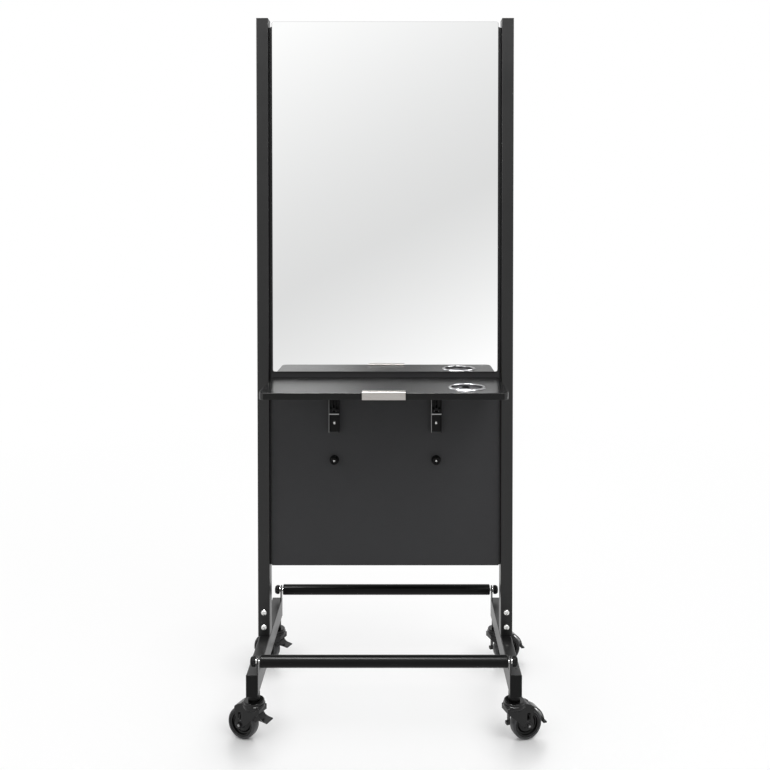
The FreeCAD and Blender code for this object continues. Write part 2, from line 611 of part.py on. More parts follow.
catch_rear = "hinge_out - catch_back"
bar_inner = "(channel_half - channel_wall - slide_gap)"
catch = cut(
    join(box("-catch_half", "catch_half", "-catch_front", catch_rear, "-catch_tall",
             "catch_tall"),
         box(f"-{bar_inner}", bar_inner, "-bar_reach", catch_rear, "-bar_low",
             "-bar_low + bar_thick"),
         box("-bar_half", "bar_half", "-bar_reach", "hinge_out - channel_deep - slide_gap",
             "-bar_low", "-bar_low + bar_thick")),
    box("-catch_slot", "catch_slot", "-2 * catch_front", "hinge_out - catch_front",
        "-bar_low + bar_thick", "2 * catch_tall"),
    rod("pin_radius + run_gap", "4 * catch_half", "-2 * catch_half", "0", "0", ALONG_X))
brace = new_body("Brace")
pad(brace, outline(brace, "YZ_Plane", square("-brace_edge", "brace_edge", "0", "brace_span")),
    "2 * brace_half", True)
for height in ("0", "brace_span"):
    pad(brace, disc(brace, "YZ_Plane", "brace_edge", "0", height), "2 * brace_half", True)
for height in ("0", "brace_span"):
    pocket(brace, disc(brace, "YZ_Plane", "pin_radius", "0", height), "4 * brace_half", True)
brace.Tip = pocket(brace, outline(brace, "YZ_Plane", square(
    "-2 * brace_edge", "2 * brace_edge", "brace_solid", "brace_span - brace_solid")),
    "2 * (brace_half - brace_strip)", True)

channel_front = "-board_face - channel_deep"
channel = cut(
    box("-channel_half", "channel_half", channel_front, "-board_face", "channel_foot_z",
        "channel_top_z"),
    box("-channel_half + channel_wall", "channel_half - channel_wall",
        f"{channel_front} - channel_deep", "-board_face - channel_wall",
        "channel_foot_z - channel_below", "channel_top_z + channel_below"),
    rod("pin_radius + loose_gap", "4 * channel_half", "-2 * channel_half", "-hinge_y",
        "hinge_z", ALONG_X),
    *[rod("wall_screw_radius + loose_gap", "2 * channel_deep", "0", channel_front, height,
          ALONG_Y) for height in CHANNEL_SCREWS])
wall_screw = cut(
    join(cone("wall_screw_head * 0.65", "wall_screw_head", "wall_screw_head_tall * 0.64", "0",
              "0", "-wall_screw_head_tall"),
         rod("wall_screw_head", "wall_screw_head_tall * 0.36", "0", "0",
             "-wall_screw_head_tall * 0.36"),
         rod("wall_screw_radius", "wall_screw_long", "0", "0", "0")),
    box("-slot_half", "slot_half", "-wall_screw_head / 2", "wall_screw_head / 2",
        "-2 * wall_screw_head_tall", "slot_deep - wall_screw_head_tall"),
    box("-wall_screw_head / 2", "wall_screw_head / 2", "-slot_half", "slot_half",
        "-2 * wall_screw_head_tall", "slot_deep - wall_screw_head_tall"))
hinge_pin = join(
    rod("pin_radius", "2 * channel_half", "-channel_half", "0", "0", ALONG_X),
    rod("rivet_radius", "rivet_tall", "channel_half", "0", "0", ALONG_X),
    rod("rivet_radius", "rivet_tall", "-channel_half - rivet_tall", "0", "0", ALONG_X))
bumper = new_body("Bumper")
pad_bore = "pad_screw_radius + loose_gap"
spin(bumper, outline(bumper, "XZ_Plane", [
    (pad_bore, "0"), ("bumper_radius", "0"), ("bumper_radius", "bumper_foot"),
    ("bumper_top", "bumper_tall - bumper_bevel"),
    ("bumper_top - bumper_bevel", "bumper_tall"), ("recess_radius", "bumper_tall"),
    ("recess_radius", "recess_seat"), (pad_bore, "recess_seat")]))
pad_head_top = "recess_seat + 2 * slot_deep"
bumper_screw = cut(
    join(rod("pad_screw_head", "slot_deep", "0", "0", "recess_seat"),
         cone("pad_screw_head", "pad_screw_head * 0.67", "slot_deep", "0", "0",
              "recess_seat + slot_deep"),
         rod("pad_screw_radius", "recess_seat + pad_screw_in", "0", "0", "-pad_screw_in")),
    box("-slot_half", "slot_half", "-pad_screw_head / 2", "pad_screw_head / 2",
        "recess_seat + slot_deep", pad_head_top),
    box("-pad_screw_head / 2", "pad_screw_head / 2", "-slot_half", "slot_half",
        "recess_seat + slot_deep", pad_head_top))
lower_pin = rod("pin_radius", "2 * catch_half", "-catch_half", "0", "0", ALONG_X)
upper_half = "(arm_half - arm_wall - loose_gap)"
upper_pin = rod("pin_radius", f"2 * {upper_half}", f"-{upper_half}", "0", "brace_span", ALONG_X)
tilt_angle = math.degrees(math.asin(size("brace_reach") / size("brace_span")))
TILT = FreeCAD.Rotation(X_WAY, tilt_angle)
PAIR = ("-1 * bracket_x", "bracket_x")


def at_hinge(piece):
    """Copies of a bracket piece at both hinges of the front shelf."""
    return group([link(piece, place_x, "-hinge_y", "hinge_z") for place_x in PAIR])


def at_catch(pieces, turn):
    """Copies of catch or brace pieces at both lower pivots of the front side."""
    return group([link(piece, place_x, "-hinge_y", "catch_z", turn)
                  for piece in pieces for place_x in PAIR])


one_side = {
    "shelf": group([shelf]),
    "shelf_pull": group([pull]),
    "dryer_ring": group([link(ring, "ring_x", "-ring_y", "shelf_top_z")]),
    "shelf_arms": at_hinge(arm_plate),
    "arm_screws": group([link(arm_screw, place_x, f"-hinge_y - {reach}", "hinge_z")
                         for place_x in PAIR for reach in ARM_SCREWS]),
    "catches": at_catch([catch], STRAIGHT),
    "braces": at_catch([brace], TILT),
    "brace_pins": at_catch([lower_pin, upper_pin], TILT),
}
for name, piece in one_side.items():
    keep(f"front_{name}", piece)
    keep(f"rear_{name}", group([link(piece, turn=HALF_TURN)]))

fixed_side = {
    "wall_brackets": group([link(channel, place_x) for place_x in PAIR]),
    "bracket_screws": group([link(wall_screw, place_x, "-board_face - channel_wall", height,
                                  ALONG_Y) for place_x in PAIR for height in CHANNEL_SCREWS]),
    "hinge_pins": at_hinge(hinge_pin),
    "bumpers": group([link(bumper, place_x, "-board_face", "bumper_z", FACING_FRONT)
                      for place_x in PAIR]),
    "bumper_screws": group([link(bumper_screw, place_x, "-board_face", "bumper_z", FACING_FRONT)
                            for place_x in PAIR]),
}
for name, piece in fixed_side.items():
    keep(name, group([link(piece), link(piece, turn=HALF_TURN)]))

# ---------------------------------------------------------------- casters
# masters stand about the swivel axis, wheel trailing towards +x
stem = new_body("Stem")
spin(stem, outline(stem, "XZ_Plane", [
    ("0", "fork_top_z - stem_pin"), ("stem_radius", "fork_top_z - stem_pin"),
    ("stem_radius", "fork_top_z + slide_gap"), ("collar_wide - collar_bevel", "fork_top_z + slide_gap"),
    ("collar_wide", "fork_top_z + slide_gap + collar_bevel"),
    ("collar_wide", "caster_tall - collar_bevel"), ("collar_wide - collar_bevel", "caster_tall"),
    ("stem_radius", "caster_tall"), ("stem_radius", "caster_tall + stem_top"),
    ("0", "caster_tall + stem_top")]))

# the side outline of the cheeks and of the wheel's room between them, station by station
fork = new_body("Fork")
cheek = pad(fork, outline(fork, "XZ_Plane", [
    ("-fork_head + 1.5", "fork_top_z - 12"), ("-fork_head + 1.5", "fork_top_z - 24"),
    ("-17", "66"), ("-6", "58"), ("trail - 13", "36"), ("trail", "26"), ("trail + 12", "29"),
    ("trail + 13.5", "38"), ("trail + 11.5", "54"), ("trail + 12", "66"), ("trail + 16.5", "72"),
    ("trail + 15", "79.5"), ("trail + 8", "84.5"), ("trail - 4", "fork_top_z - 8")]),
    "2 * cheek_out", True)
rim_y = size("cheek_out")
soften(fork, cheek, "1.6", lambda edge: all(abs(abs(vertex.Y) - rim_y) < NEAR
                                            for vertex in edge.Vertexes))
pad(fork, disc(fork, "XZ_Plane", "axle_boss", "trail", "wheel_radius"),
    "2 * (cheek_out + boss_tall)", True)
spin(fork, outline(fork, "XZ_Plane", [
    ("0", "76"), ("20", "76"), ("fork_head", "fork_top_z - 13.6"),
    ("fork_head", "fork_top_z - 7.6"), ("fork_head - 1.9", "fork_top_z - 6.6"),
    ("fork_head - 1.9", "fork_top_z - 1.6"), ("fork_head - 4.5", "fork_top_z"),
    ("0", "fork_top_z")]))
pocket(fork, disc(fork, "XZ_Plane", "wheel_radius + wheel_room", "trail", "wheel_radius"),
       "2 * cheek_in", True)
pocket(fork, outline(fork, "XZ_Plane", [
    ("-fork_head - 4", "10"), ("trail + 60", "10"), ("trail + 60", "71"), ("trail + 26", "71"),
    ("trail + 18", "72.5"), ("-2", "73.6"), ("-fork_head - 4", "73.6")]), "2 * cheek_in", True)
pocket(fork, outline(fork, "XZ_Plane", square("trail - 4", "trail + 4", "51", "67")),
       "4 * cheek_out", True)
pocket(fork, disc(fork, "XZ_Plane", "axle_radius + loose_gap", "trail", "wheel_radius"),
       "4 * cheek_out", True)
fork.Tip = pocket(fork, disc(fork, "XY_Plane", "stem_radius + run_gap", "0", "0",
                             "fork_top_z"), "stem_pin + slide_gap")


def lever(corners, pivot_x, pivot_z):
    """Brake lever with its own trunnions, from a side outline."""
    body = new_body(fresh("Lever"))
    pad(body, outline(body, "XZ_Plane", corners), "2 * (cheek_in - 3 * slide_gap)", True)
    body.Tip = pad(body, disc(body, "XZ_Plane", "lever_pin", pivot_x, pivot_z),
                   "2 * cheek_out", True)
    return body


def with_pivot(base, pivot_x, pivot_z):
    """Fork bored for the lever's trunnions."""
    return cut(base, rod("lever_pin + run_gap", "4 * cheek_out", pivot_x, "-2 * cheek_out",
                         pivot_z, ALONG_Y))


toe_lever = lever([("-9", "62"), ("-10", "69.5"), ("-17", "70"), ("-24", "62"), ("-30", "59.6"),
                   ("-45", "57.4"), ("-45", "54.6"), ("-30", "56.6"), ("-20", "57"),
                   ("-13", "51"), ("-6.8", "53.5")], "toe_pivot_x", "toe_pivot_z")
heel_inner = [(f"trail + lever_ring * cos({angle}deg)",
               f"wheel_radius + lever_ring * sin({angle}deg)") for angle in range(66, -7, -12)]
heel_outer = [(f"trail + (lever_ring + lever_thick) * cos({angle}deg)",
               f"wheel_radius + (lever_ring + lever_thick) * sin({angle}deg)")
              for angle in range(0, 67, 11)]
heel_lever = lever([("trail + 7", "76.8"), ("trail + 10", "75.2")] + heel_inner
                   + [("trail + 50.5", "33"), ("trail + 50.5", "36.4")] + heel_outer
                   + [("trail + 10.6", "80.6"), ("trail + 7.4", "80")],
                   "trail + heel_pivot_x", "heel_pivot_z")
toe_fork = with_pivot(fork, "toe_pivot_x", "toe_pivot_z")
nub = [box("-17", "-13", "-5", "5", "42", "76"), box("-22", "-13", "-5", "5", "41", "49")]
heel_fork = with_pivot(cut(join(fork, *nub), box(
    "trail + heel_slot", "trail + wheel_radius", "-cheek_in", "cheek_in", "wheel_radius",
    "fork_top_z")), "trail + heel_pivot_x", "heel_pivot_z")
wheel = new_body("Wheel")
wheel_bore = "axle_radius + run_gap"
hub_end = "(cheek_in - slide_gap)"
spin(wheel, outline(wheel, "XZ_Plane", [
    (wheel_bore, f"-{hub_end}"), ("hub_radius", f"-{hub_end}"),
    ("hub_radius + 0.6", "-web_half - 1.5"), ("rim_inner - 1.5", "-web_half"),
    ("rim_inner", "-tread_half"), ("tread_radius", "-tread_half"),
    ("tread_radius", "tread_half"), ("rim_inner", "tread_half"),
    ("rim_inner - 1.5", "web_half"), ("hub_radius + 0.6", "web_half + 1.5"),
    ("hub_radius", hub_end), (wheel_bore, hub_end)]))
for angle in range(0, 360, 60):
    wheel.Tip = pocket(wheel, disc(
        wheel, "XY_Plane", "hub_hole_radius", f"hub_hole_ring * cos({angle}deg)",
        f"hub_hole_ring * sin({angle}deg)", "tread_half"), "2 * tread_half")
tyre = new_body("Tyre")
spin(tyre, outline(tyre, "XZ_Plane", [
    ("tread_radius", "-tread_half"), ("tread_radius + 1.5", "-wheel_wide / 2"),
    ("tread_radius + 4.5", "-wheel_wide / 2 + 0.4"), ("wheel_radius - 0.4", "-8"),
    ("wheel_radius", "-2"), ("wheel_radius", "2"), ("wheel_radius - 0.4", "8"),
    ("tread_radius + 4.5", "wheel_wide / 2 - 0.4"), ("tread_radius + 1.5", "wheel_wide / 2"),
    ("tread_radius", "tread_half")]))
axle_seat = "cheek_out + boss_tall"
axle = join(rod("axle_radius", f"2 * ({axle_seat})", "0", "0", f"-({axle_seat})"),
            rod("axle_radius + 1.2", "axle_radius / 2", "0", "0",
                f"-({axle_seat}) - axle_radius / 2"),
            cone("axle_radius + 0.2", "axle_radius + 1.2", "boss_tall", "0", "0",
                 f"-({axle_seat}) - axle_radius / 2 - boss_tall"),
            hexagon("axle_radius + 2.9", "0.9 * axle_radius", "0", "0", axle_seat))

CORNERS = (("front_left", "-1", "-1", "left", toe_fork, toe_lever),
           ("rear_left", "-1", "1", "left", toe_fork, toe_lever),
           ("front_right", "1", "-1", "right", heel_fork, heel_lever),
           ("rear_right", "1", "1", "right", heel_fork, heel_lever))
stems = []
for corner, sign, side, hand, corner_fork, corner_lever in CORNERS:
    middle = (f"{sign} * leg_mid_x", f"{side} * caster_y")
    yaw = FreeCAD.Rotation(UP, math.degrees(math.atan2(size(f"{hand}_trail_y"),
                                                       size(f"{hand}_trail_x"))))
    hub = (f"{middle[0]} + trail * {hand}_trail_x", f"{middle[1]} + trail * {hand}_trail_y",
           "wheel_radius")
    stems.append(link(stem, middle[0], middle[1]))
    keep(f"{corner}_fork", group([link(corner_fork, middle[0], middle[1], "0", yaw)]))
    keep(f"{corner}_brake", group([link(corner_lever, middle[0], middle[1], "0", yaw)]))
    for name, piece in (("wheel", wheel), ("tyre", tyre), ("axle", axle)):
        keep(f"{corner}_{name}", group([link(piece, *hub, yaw.multiply(ALONG_Y))]))
keep("caster_stems", group(stems))

# ---------------------------------------------------------------- write the pieces
doc.recompute()
for thing in doc.Objects:
    if "Invalid" in thing.State or "Error" in thing.State:
        raise RuntimeError(f"{thing.Label} did not build: {thing.State}")
os.makedirs("parts", exist_ok=True)
for name, thing in PARTS.items():
    if thing.Shape.isNull() or not thing.Shape.isValid() or not thing.Shape.Solids:
        raise RuntimeError(f"{name} has no sound shape")
    thing.Shape.exportStep(f"parts/{name}.step")
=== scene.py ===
"""Looks of a double sided salon station: finishes, fine pieces, floor, light and camera."""
import json
import logging
import math
from dataclasses import dataclass
from enum import Enum
from typing import Callable, Sequence

import bmesh
import bpy
from mathutils import Matrix, Vector


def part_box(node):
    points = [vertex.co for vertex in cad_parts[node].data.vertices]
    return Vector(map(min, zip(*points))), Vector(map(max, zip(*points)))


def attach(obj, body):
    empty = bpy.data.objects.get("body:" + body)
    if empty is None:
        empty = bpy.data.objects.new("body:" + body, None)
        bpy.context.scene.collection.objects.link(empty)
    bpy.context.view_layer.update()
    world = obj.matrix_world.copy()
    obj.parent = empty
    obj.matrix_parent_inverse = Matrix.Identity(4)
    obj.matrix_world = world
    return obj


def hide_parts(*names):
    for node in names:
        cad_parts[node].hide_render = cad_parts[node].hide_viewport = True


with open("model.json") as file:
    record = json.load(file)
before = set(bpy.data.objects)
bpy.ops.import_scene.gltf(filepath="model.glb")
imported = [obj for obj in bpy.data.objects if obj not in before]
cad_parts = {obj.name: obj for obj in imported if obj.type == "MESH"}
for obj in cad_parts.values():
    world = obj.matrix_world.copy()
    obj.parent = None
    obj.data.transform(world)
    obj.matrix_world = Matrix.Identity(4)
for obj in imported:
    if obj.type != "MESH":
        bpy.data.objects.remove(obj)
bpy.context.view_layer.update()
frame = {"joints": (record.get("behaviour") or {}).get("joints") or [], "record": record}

LOG = logging.getLogger("salon_station")
MM = 0.001
TINY = 1e-6

Profile = Sequence[tuple[float, float]]
Seat = tuple[Vector, Vector]
Tree = bpy.types.NodeTree
Node = bpy.types.Node
Plug = bpy.types.NodeSocket
Mesh = bpy.types.Mesh
Material = bpy.types.Material
Piece = bpy.types.Object


def new_object(name: str, data: bpy.types.ID) -> Piece:
    """Put a mesh, lamp or camera in the scene."""
    made = bpy.data.objects.new(name, data)
    bpy.context.scene.collection.objects.link(made)
    return made


# ------------------------------------------------------------------ shared shader effects
class Socket(Enum):
    """Kinds of socket that the shared effects use."""

    NUMBER = "NodeSocketFloat"
    COLOUR = "NodeSocketColor"
    VECTOR = "NodeSocketVector"
    SHAPE = "NodeSocketGeometry"
    MATERIAL = "NodeSocketMaterial"
    OBJECT = "NodeSocketObject"
    COUNT = "NodeSocketInt"


def add_socket(tree: Tree, name: str, kind: Socket, output: bool = False,
               value: float | tuple | None = None) -> str:
    """Add a named input or output to a node group.

    Args:
        tree: The group's tree.
        name: Name shown on the socket.
        kind: What it carries.
        output: True for an output.
        value: Default of an input.

    Returns:
        The socket's identifier, which modifiers need.
    """
    made = tree.interface.new_socket(name=name, in_out="OUTPUT" if output else "INPUT",
                                     socket_type=kind.value)
    if value is not None:
        made.default_value = value
    return made.identifier


def link(tree: Tree, start: Plug, end: Plug) -> None:
    """Join two sockets."""
    tree.links.new(start, end)


def node(tree: Tree, kind: str, **settings: object) -> Node:
    """Add a node and set its properties."""
    made = tree.nodes.new(kind)
    for name, value in settings.items():
        setattr(made, name, value)
    return made


def put(tree: Tree, target: Plug, value: object) -> None:
    """Feed a socket with another socket or a plain value."""
    if isinstance(value, Plug):
        link(tree, value, target)
    else:
        target.default_value = value


def feed(tree: Tree, target: Node, values: dict[str, object]) -> None:
    """Feed the named inputs of a node, each with another socket or a plain value."""
    for name, value in values.items():
        put(tree, target.inputs[name], value)


def math_node(tree: Tree, operation: str, first: object, second: object = 0.0,
              clamp: bool = False) -> Plug:
    """Add a math node and return its result socket."""
    made = node(tree, "ShaderNodeMath", operation=operation, use_clamp=clamp)
    put(tree, made.inputs[0], first)
    put(tree, made.inputs[1], second)
    return made.outputs[0]


def spread(tree: Tree, value: object, low: object, high: object, start: float = 0.0,
           end: float = 1.0) -> Plug:
    """Map a value from start..end to low..high, clamped."""
    made = node(tree, "ShaderNodeMapRange", clamp=True)
    feed(tree, made, {"Value": value, "From Min": start, "From Max": end, "To Min": low,
                      "To Max": high})
    return made.outputs["Result"]


def choose(tree: Tree, factor: object, otherwise: object, chosen: object) -> Plug:
    """Mix two numbers: the chosen one where the factor is 1, the other where it is 0."""
    made = node(tree, "ShaderNodeMix", data_type="FLOAT")
    feed(tree, made, {"Factor": factor, "A": otherwise, "B": chosen})
    return made.outputs["Result"]


def mix_shaders(tree: Tree, share: object, first: Node, second: Node) -> Node:
    """Mix two shaders, with a share of the second and the rest of the first."""
    made = node(tree, "ShaderNodeMixShader")
    put(tree, made.inputs[0], share)
    link(tree, first.outputs[0], made.inputs[1])
    link(tree, second.outputs[0], made.inputs[2])
    return made


def own_place(tree: Tree) -> Plug:
    """Place on the piece, in its own frame."""
    return node(tree, "ShaderNodeTexCoord").outputs["Object"]


def noise_at(tree: Tree, place: Plug, scale: object, detail: float,
             roughness: float = 0.5) -> Plug:
    """Add a noise texture and return its value."""
    made = node(tree, "ShaderNodeTexNoise")
    feed(tree, made, {"Vector": place, "Scale": scale, "Detail": detail,
                      "Roughness": roughness})
    return made.outputs["Fac"]


class SurfaceEffects:
    """Node groups that several finishes share."""

    noise_band = (0.3, 0.7)
    upward_band = (0.2, 1.0)

    def __init__(self) -> None:
        self.grain = self._make_grain()
        self.cloud = self._make_cloud()
        self.lines = self._make_lines()
        self.dust = self._make_dust()

    @staticmethod
    def _new_group(name: str, **numbers: float) -> tuple[Tree, Node, Node]:
        """Start a shader group with its number inputs, its input node and its output node."""
        tree = bpy.data.node_groups.new(name, "ShaderNodeTree")
        for label, value in numbers.items():
            add_socket(tree, label, Socket.NUMBER, value=value)
        return tree, node(tree, "NodeGroupInput"), node(tree, "NodeGroupOutput")

    def _uneven(self, tree: Tree, inlet: Node, noise: Plug) -> Plug:
        """Spread a noise from the group's Low to its High."""
        return spread(tree, noise, inlet.outputs["Low"], inlet.outputs["High"],
                      *self.noise_band)

    def _make_grain(self) -> Tree:
        """Fine pebbled height, as on powder coat, laminate and moulded plastic."""
        tree, inlet, outlet = self._new_group("fine_grain", Cells=900.0)
        add_socket(tree, "Height", Socket.NUMBER, output=True)
        feed(tree, outlet, {
            "Height": noise_at(tree, own_place(tree), inlet.outputs["Cells"], 2.0)})
        return tree

    def _make_cloud(self) -> Tree:
        """Slow uneven value for roughness, as handling leaves on a smooth surface."""
        tree, inlet, outlet = self._new_group("handled_cloud", Scale=6.0, Low=0.3, High=0.5)
        add_socket(tree, "Value", Socket.NUMBER, output=True)
        noise = noise_at(tree, own_place(tree), inlet.outputs["Scale"], 5.0, 0.62)
        feed(tree, outlet, {"Value": self._uneven(tree, inlet, noise)})
        return tree

    def _make_lines(self) -> Tree:
        """Long straight scratches across one axis, as brushing leaves."""
        tree, inlet, outlet = self._new_group("brushed_lines", Low=0.2, High=0.4)
        add_socket(tree, "Stretch", Socket.VECTOR, value=(8.0, 900.0, 900.0))
        for name in ("Value", "Height"):
            add_socket(tree, name, Socket.NUMBER, output=True)
        scaled = node(tree, "ShaderNodeVectorMath", operation="MULTIPLY")
        link(tree, own_place(tree), scaled.inputs[0])
        link(tree, inlet.outputs["Stretch"], scaled.inputs[1])
        noise = noise_at(tree, scaled.outputs[0], 1.0, 4.0)
        feed(tree, outlet, {"Value": self._uneven(tree, inlet, noise), "Height": noise})
        return tree

    def _make_dust(self) -> Tree:
        """Colour with a thin pale film on faces that look up and slight tone drift."""
        tree, inlet, outlet = self._new_group("settled_dust", Amount=0.03, Drift=0.1)
        add_socket(tree, "Colour", Socket.COLOUR, value=(0.03, 0.03, 0.03, 1.0))
        add_socket(tree, "Film", Socket.COLOUR, value=(0.25, 0.25, 0.25, 1.0))
        add_socket(tree, "Colour", Socket.COLOUR, output=True)
        noise = noise_at(tree, own_place(tree), 14.0, 6.0)
        split = node(tree, "ShaderNodeSeparateXYZ")
        link(tree, node(tree, "ShaderNodeNewGeometry").outputs["Normal"], split.inputs[0])
        upward = math_node(tree, "MULTIPLY", spread(
            tree, split.outputs["Z"], 0.0, 1.0, *self.upward_band), noise)
        amount = math_node(tree, "MULTIPLY", upward, inlet.outputs["Amount"], clamp=True)
        drift = math_node(tree, "MULTIPLY", math_node(tree, "SUBTRACT", noise, 0.5),
                          inlet.outputs["Drift"])
        tone = node(tree, "ShaderNodeHueSaturation")
        feed(tree, tone, {"Value": math_node(tree, "ADD", drift, 1.0),
                          "Color": inlet.outputs["Colour"]})
        mixed = node(tree, "ShaderNodeMix", data_type="RGBA")
        feed(tree, mixed, {"Factor": amount, "A": tone.outputs["Color"],
                           "B": inlet.outputs["Film"]})
        feed(tree, outlet, {"Colour": mixed.outputs["Result"]})
        return tree


# ------------------------------------------------------------------ finishes
class Surface(Enum):
    """How the fine relief of a finish is made."""

    GRAINED = "grained"
    BRUSHED = "brushed"
    POLISHED = "polished"


@dataclass(frozen=True)
class Finish:
    """One procedural finish of the station."""

    name: str
    colour: tuple[float, float, float]
    rough_low: float
    rough_high: float
    metallic: float = 0.0
    specular: float = 0.5
    surface: Surface = Surface.GRAINED
    cells: float = 900.0
    relief: float = 0.00004
    cloud_scale: float = 6.0
    dust: float = 0.02
    drift: float = 0.15
    stretch: tuple[float, float, float] = (10.0, 1200.0, 1200.0)

    def build(self, effects: SurfaceEffects) -> Material:
        """Make the material.

        Args:
            effects: The shared node groups.

        Returns:
            The finished material.
        """
        made = bpy.data.materials.new(self.name)
        made.use_nodes = True
        tree = made.node_tree
        dust = node(tree, "ShaderNodeGroup", node_tree=effects.dust)
        feed(tree, dust, {"Colour": (*self.colour, 1.0), "Amount": self.dust,
                          "Drift": self.drift})
        brushed = self.surface is Surface.BRUSHED
        uneven = node(tree, "ShaderNodeGroup",
                      node_tree=effects.lines if brushed else effects.cloud)
        feed(tree, uneven, {"Low": self.rough_low, "High": self.rough_high})
        if brushed:
            feed(tree, uneven, {"Stretch": self.stretch})
            fine = uneven
        else:
            feed(tree, uneven, {"Scale": self.cloud_scale})
            fine = node(tree, "ShaderNodeGroup", node_tree=effects.grain)
            feed(tree, fine, {"Cells": self.cells})
        shader = tree.nodes["Principled BSDF"]
        feed(tree, shader, {"Base Color": dust.outputs["Colour"], "Metallic": self.metallic,
                            "Specular IOR Level": self.specular,
                            "Roughness": uneven.outputs["Value"]})
        if self.surface is not Surface.POLISHED:
            bump = node(tree, "ShaderNodeBump")
            feed(tree, bump, {"Strength": 1.0, "Distance": self.relief,
                              "Height": fine.outputs["Height"]})
            link(tree, bump.outputs["Normal"], shader.inputs["Normal"])
        return made


FINISHES = (
    Finish("powder_coat_black", (0.004, 0.004, 0.004), 0.3, 0.38, specular=0.42, cells=1400.0),
    Finish("rail_gloss_black", (0.002, 0.002, 0.002), 0.27, 0.33, specular=0.13, cells=1400.0,
           relief=0.00001),
    Finish("bracket_enamel_black", (0.003, 0.003, 0.003), 0.2, 0.28, specular=0.12,
           cells=1100.0, relief=0.00002),
    # Painted highlight: pale grey for the front rim of one bracket flange, in place of a glint of
    # light.
    Finish("painted_glint_edge", (0.22, 0.22, 0.22), 0.25, 0.35, cells=1100.0, relief=0.00002),
    Finish("shelf_edge_black", (0.006, 0.006, 0.006), 0.3, 0.38, specular=0.16, cells=1700.0,
           relief=0.00002),
    Finish("satin_bar_steel", (0.3, 0.3, 0.3), 0.3, 0.4, metallic=1.0, cells=2600.0,
           relief=0.00001),
    Finish("swivel_race_black", (0.003, 0.003, 0.003), 0.05, 0.09, specular=0.3, cells=1400.0,
           relief=0.00001),
    Finish("axle_oxide_black", (0.004, 0.004, 0.004), 0.2, 0.3, specular=0.3, cells=2600.0,
           relief=0.00001),
    Finish("board_laminate_black", (0.037, 0.037, 0.0385), 0.42, 0.5, specular=0.1,
           cells=1700.0, relief=0.00003, cloud_scale=3.0, drift=0.08),
    Finish("shelf_laminate_black", (0.006, 0.006, 0.0062), 0.2, 0.26, specular=0.45,
           cells=1700.0, relief=0.00001, cloud_scale=4.0, drift=0.08),
    Finish("mirror_silver", (0.985, 0.99, 0.988), 0.008, 0.012, metallic=1.0,
           surface=Surface.POLISHED, dust=0.0, drift=0.0),
    Finish("foam_tape_white", (0.72, 0.72, 0.7), 0.75, 0.9, cells=700.0, relief=0.0001),
    Finish("moulded_plastic_black", (0.003, 0.003, 0.003), 0.25, 0.34, specular=0.14,
           cells=2200.0, relief=0.00002),
    Finish("bright_zinc", (0.72, 0.72, 0.71), 0.2, 0.32, metallic=1.0, cells=2600.0,
           relief=0.000015, drift=0.08),
    Finish("brushed_steel_pull", (0.44, 0.42, 0.4), 0.24, 0.38, metallic=1.0,
           surface=Surface.BRUSHED, relief=0.00001, drift=0.06),
    Finish("polished_chrome_ring", (0.55, 0.55, 0.56), 0.05, 0.1, metallic=1.0,
           surface=Surface.POLISHED, drift=0.03),
    Finish("bumper_rubber_black", (0.003, 0.003, 0.003), 0.22, 0.3, specular=0.1, cells=1500.0,
           relief=0.00002),
    Finish("caster_nylon_black", (0.004, 0.004, 0.0042), 0.12, 0.2, specular=0.28,
           cells=1800.0, relief=0.00002),
    Finish("tyre_rubber_grey", (0.035, 0.035, 0.037), 0.32, 0.42, specular=0.3,
           relief=0.00006, drift=0.2),
)

SLOT_FINISH = {
    "frame_coat": "powder_coat_black",
    "bracket_coat": "bracket_enamel_black",
    "board_laminate": "board_laminate_black",
    "mirror_glass": "mirror_silver",
    "tape_foam": "foam_tape_white",
    "moulded_plastic": "moulded_plastic_black",
    "bright_zinc": "bright_zinc",
    "pull_steel": "brushed_steel_pull",
    "ring_chrome": "polished_chrome_ring",
    "bumper_rubber": "bumper_rubber_black",
    "caster_nylon": "caster_nylon_black",
    "tyre_grey": "tyre_rubber_grey",
}


# ------------------------------------------------------------------ studio
class Lights(Enum):
    """What a soft box does: even light, glints on gloss, or both."""

    BOTH = "both"
    EVEN = "even"
    GLINTS = "glints"


@dataclass(frozen=True)
class Lamp:
    """One soft box of the studio."""

    name: str
    place: tuple[float, float, float]
    aim: tuple[float, float, float]
    width: float
    height: float
    power: float
    lights: Lights = Lights.BOTH

    def build(self) -> Piece:
        """Hang the soft box and point it at its aim."""
        data = bpy.data.lights.new(self.name, "AREA")
        data.shape = "RECTANGLE"
        data.size = self.width
        data.size_y = self.height
        data.energy = self.power
        lamp = new_object(self.name, data)
        lamp.location = self.place
        lamp.rotation_euler = (Vector(self.aim) - Vector(self.place)).to_track_quat(
            "-Z", "Y").to_euler()
        lamp.visible_camera = False
        lamp.visible_glossy = self.lights is not Lights.EVEN
        lamp.visible_diffuse = self.lights is not Lights.GLINTS
        return lamp


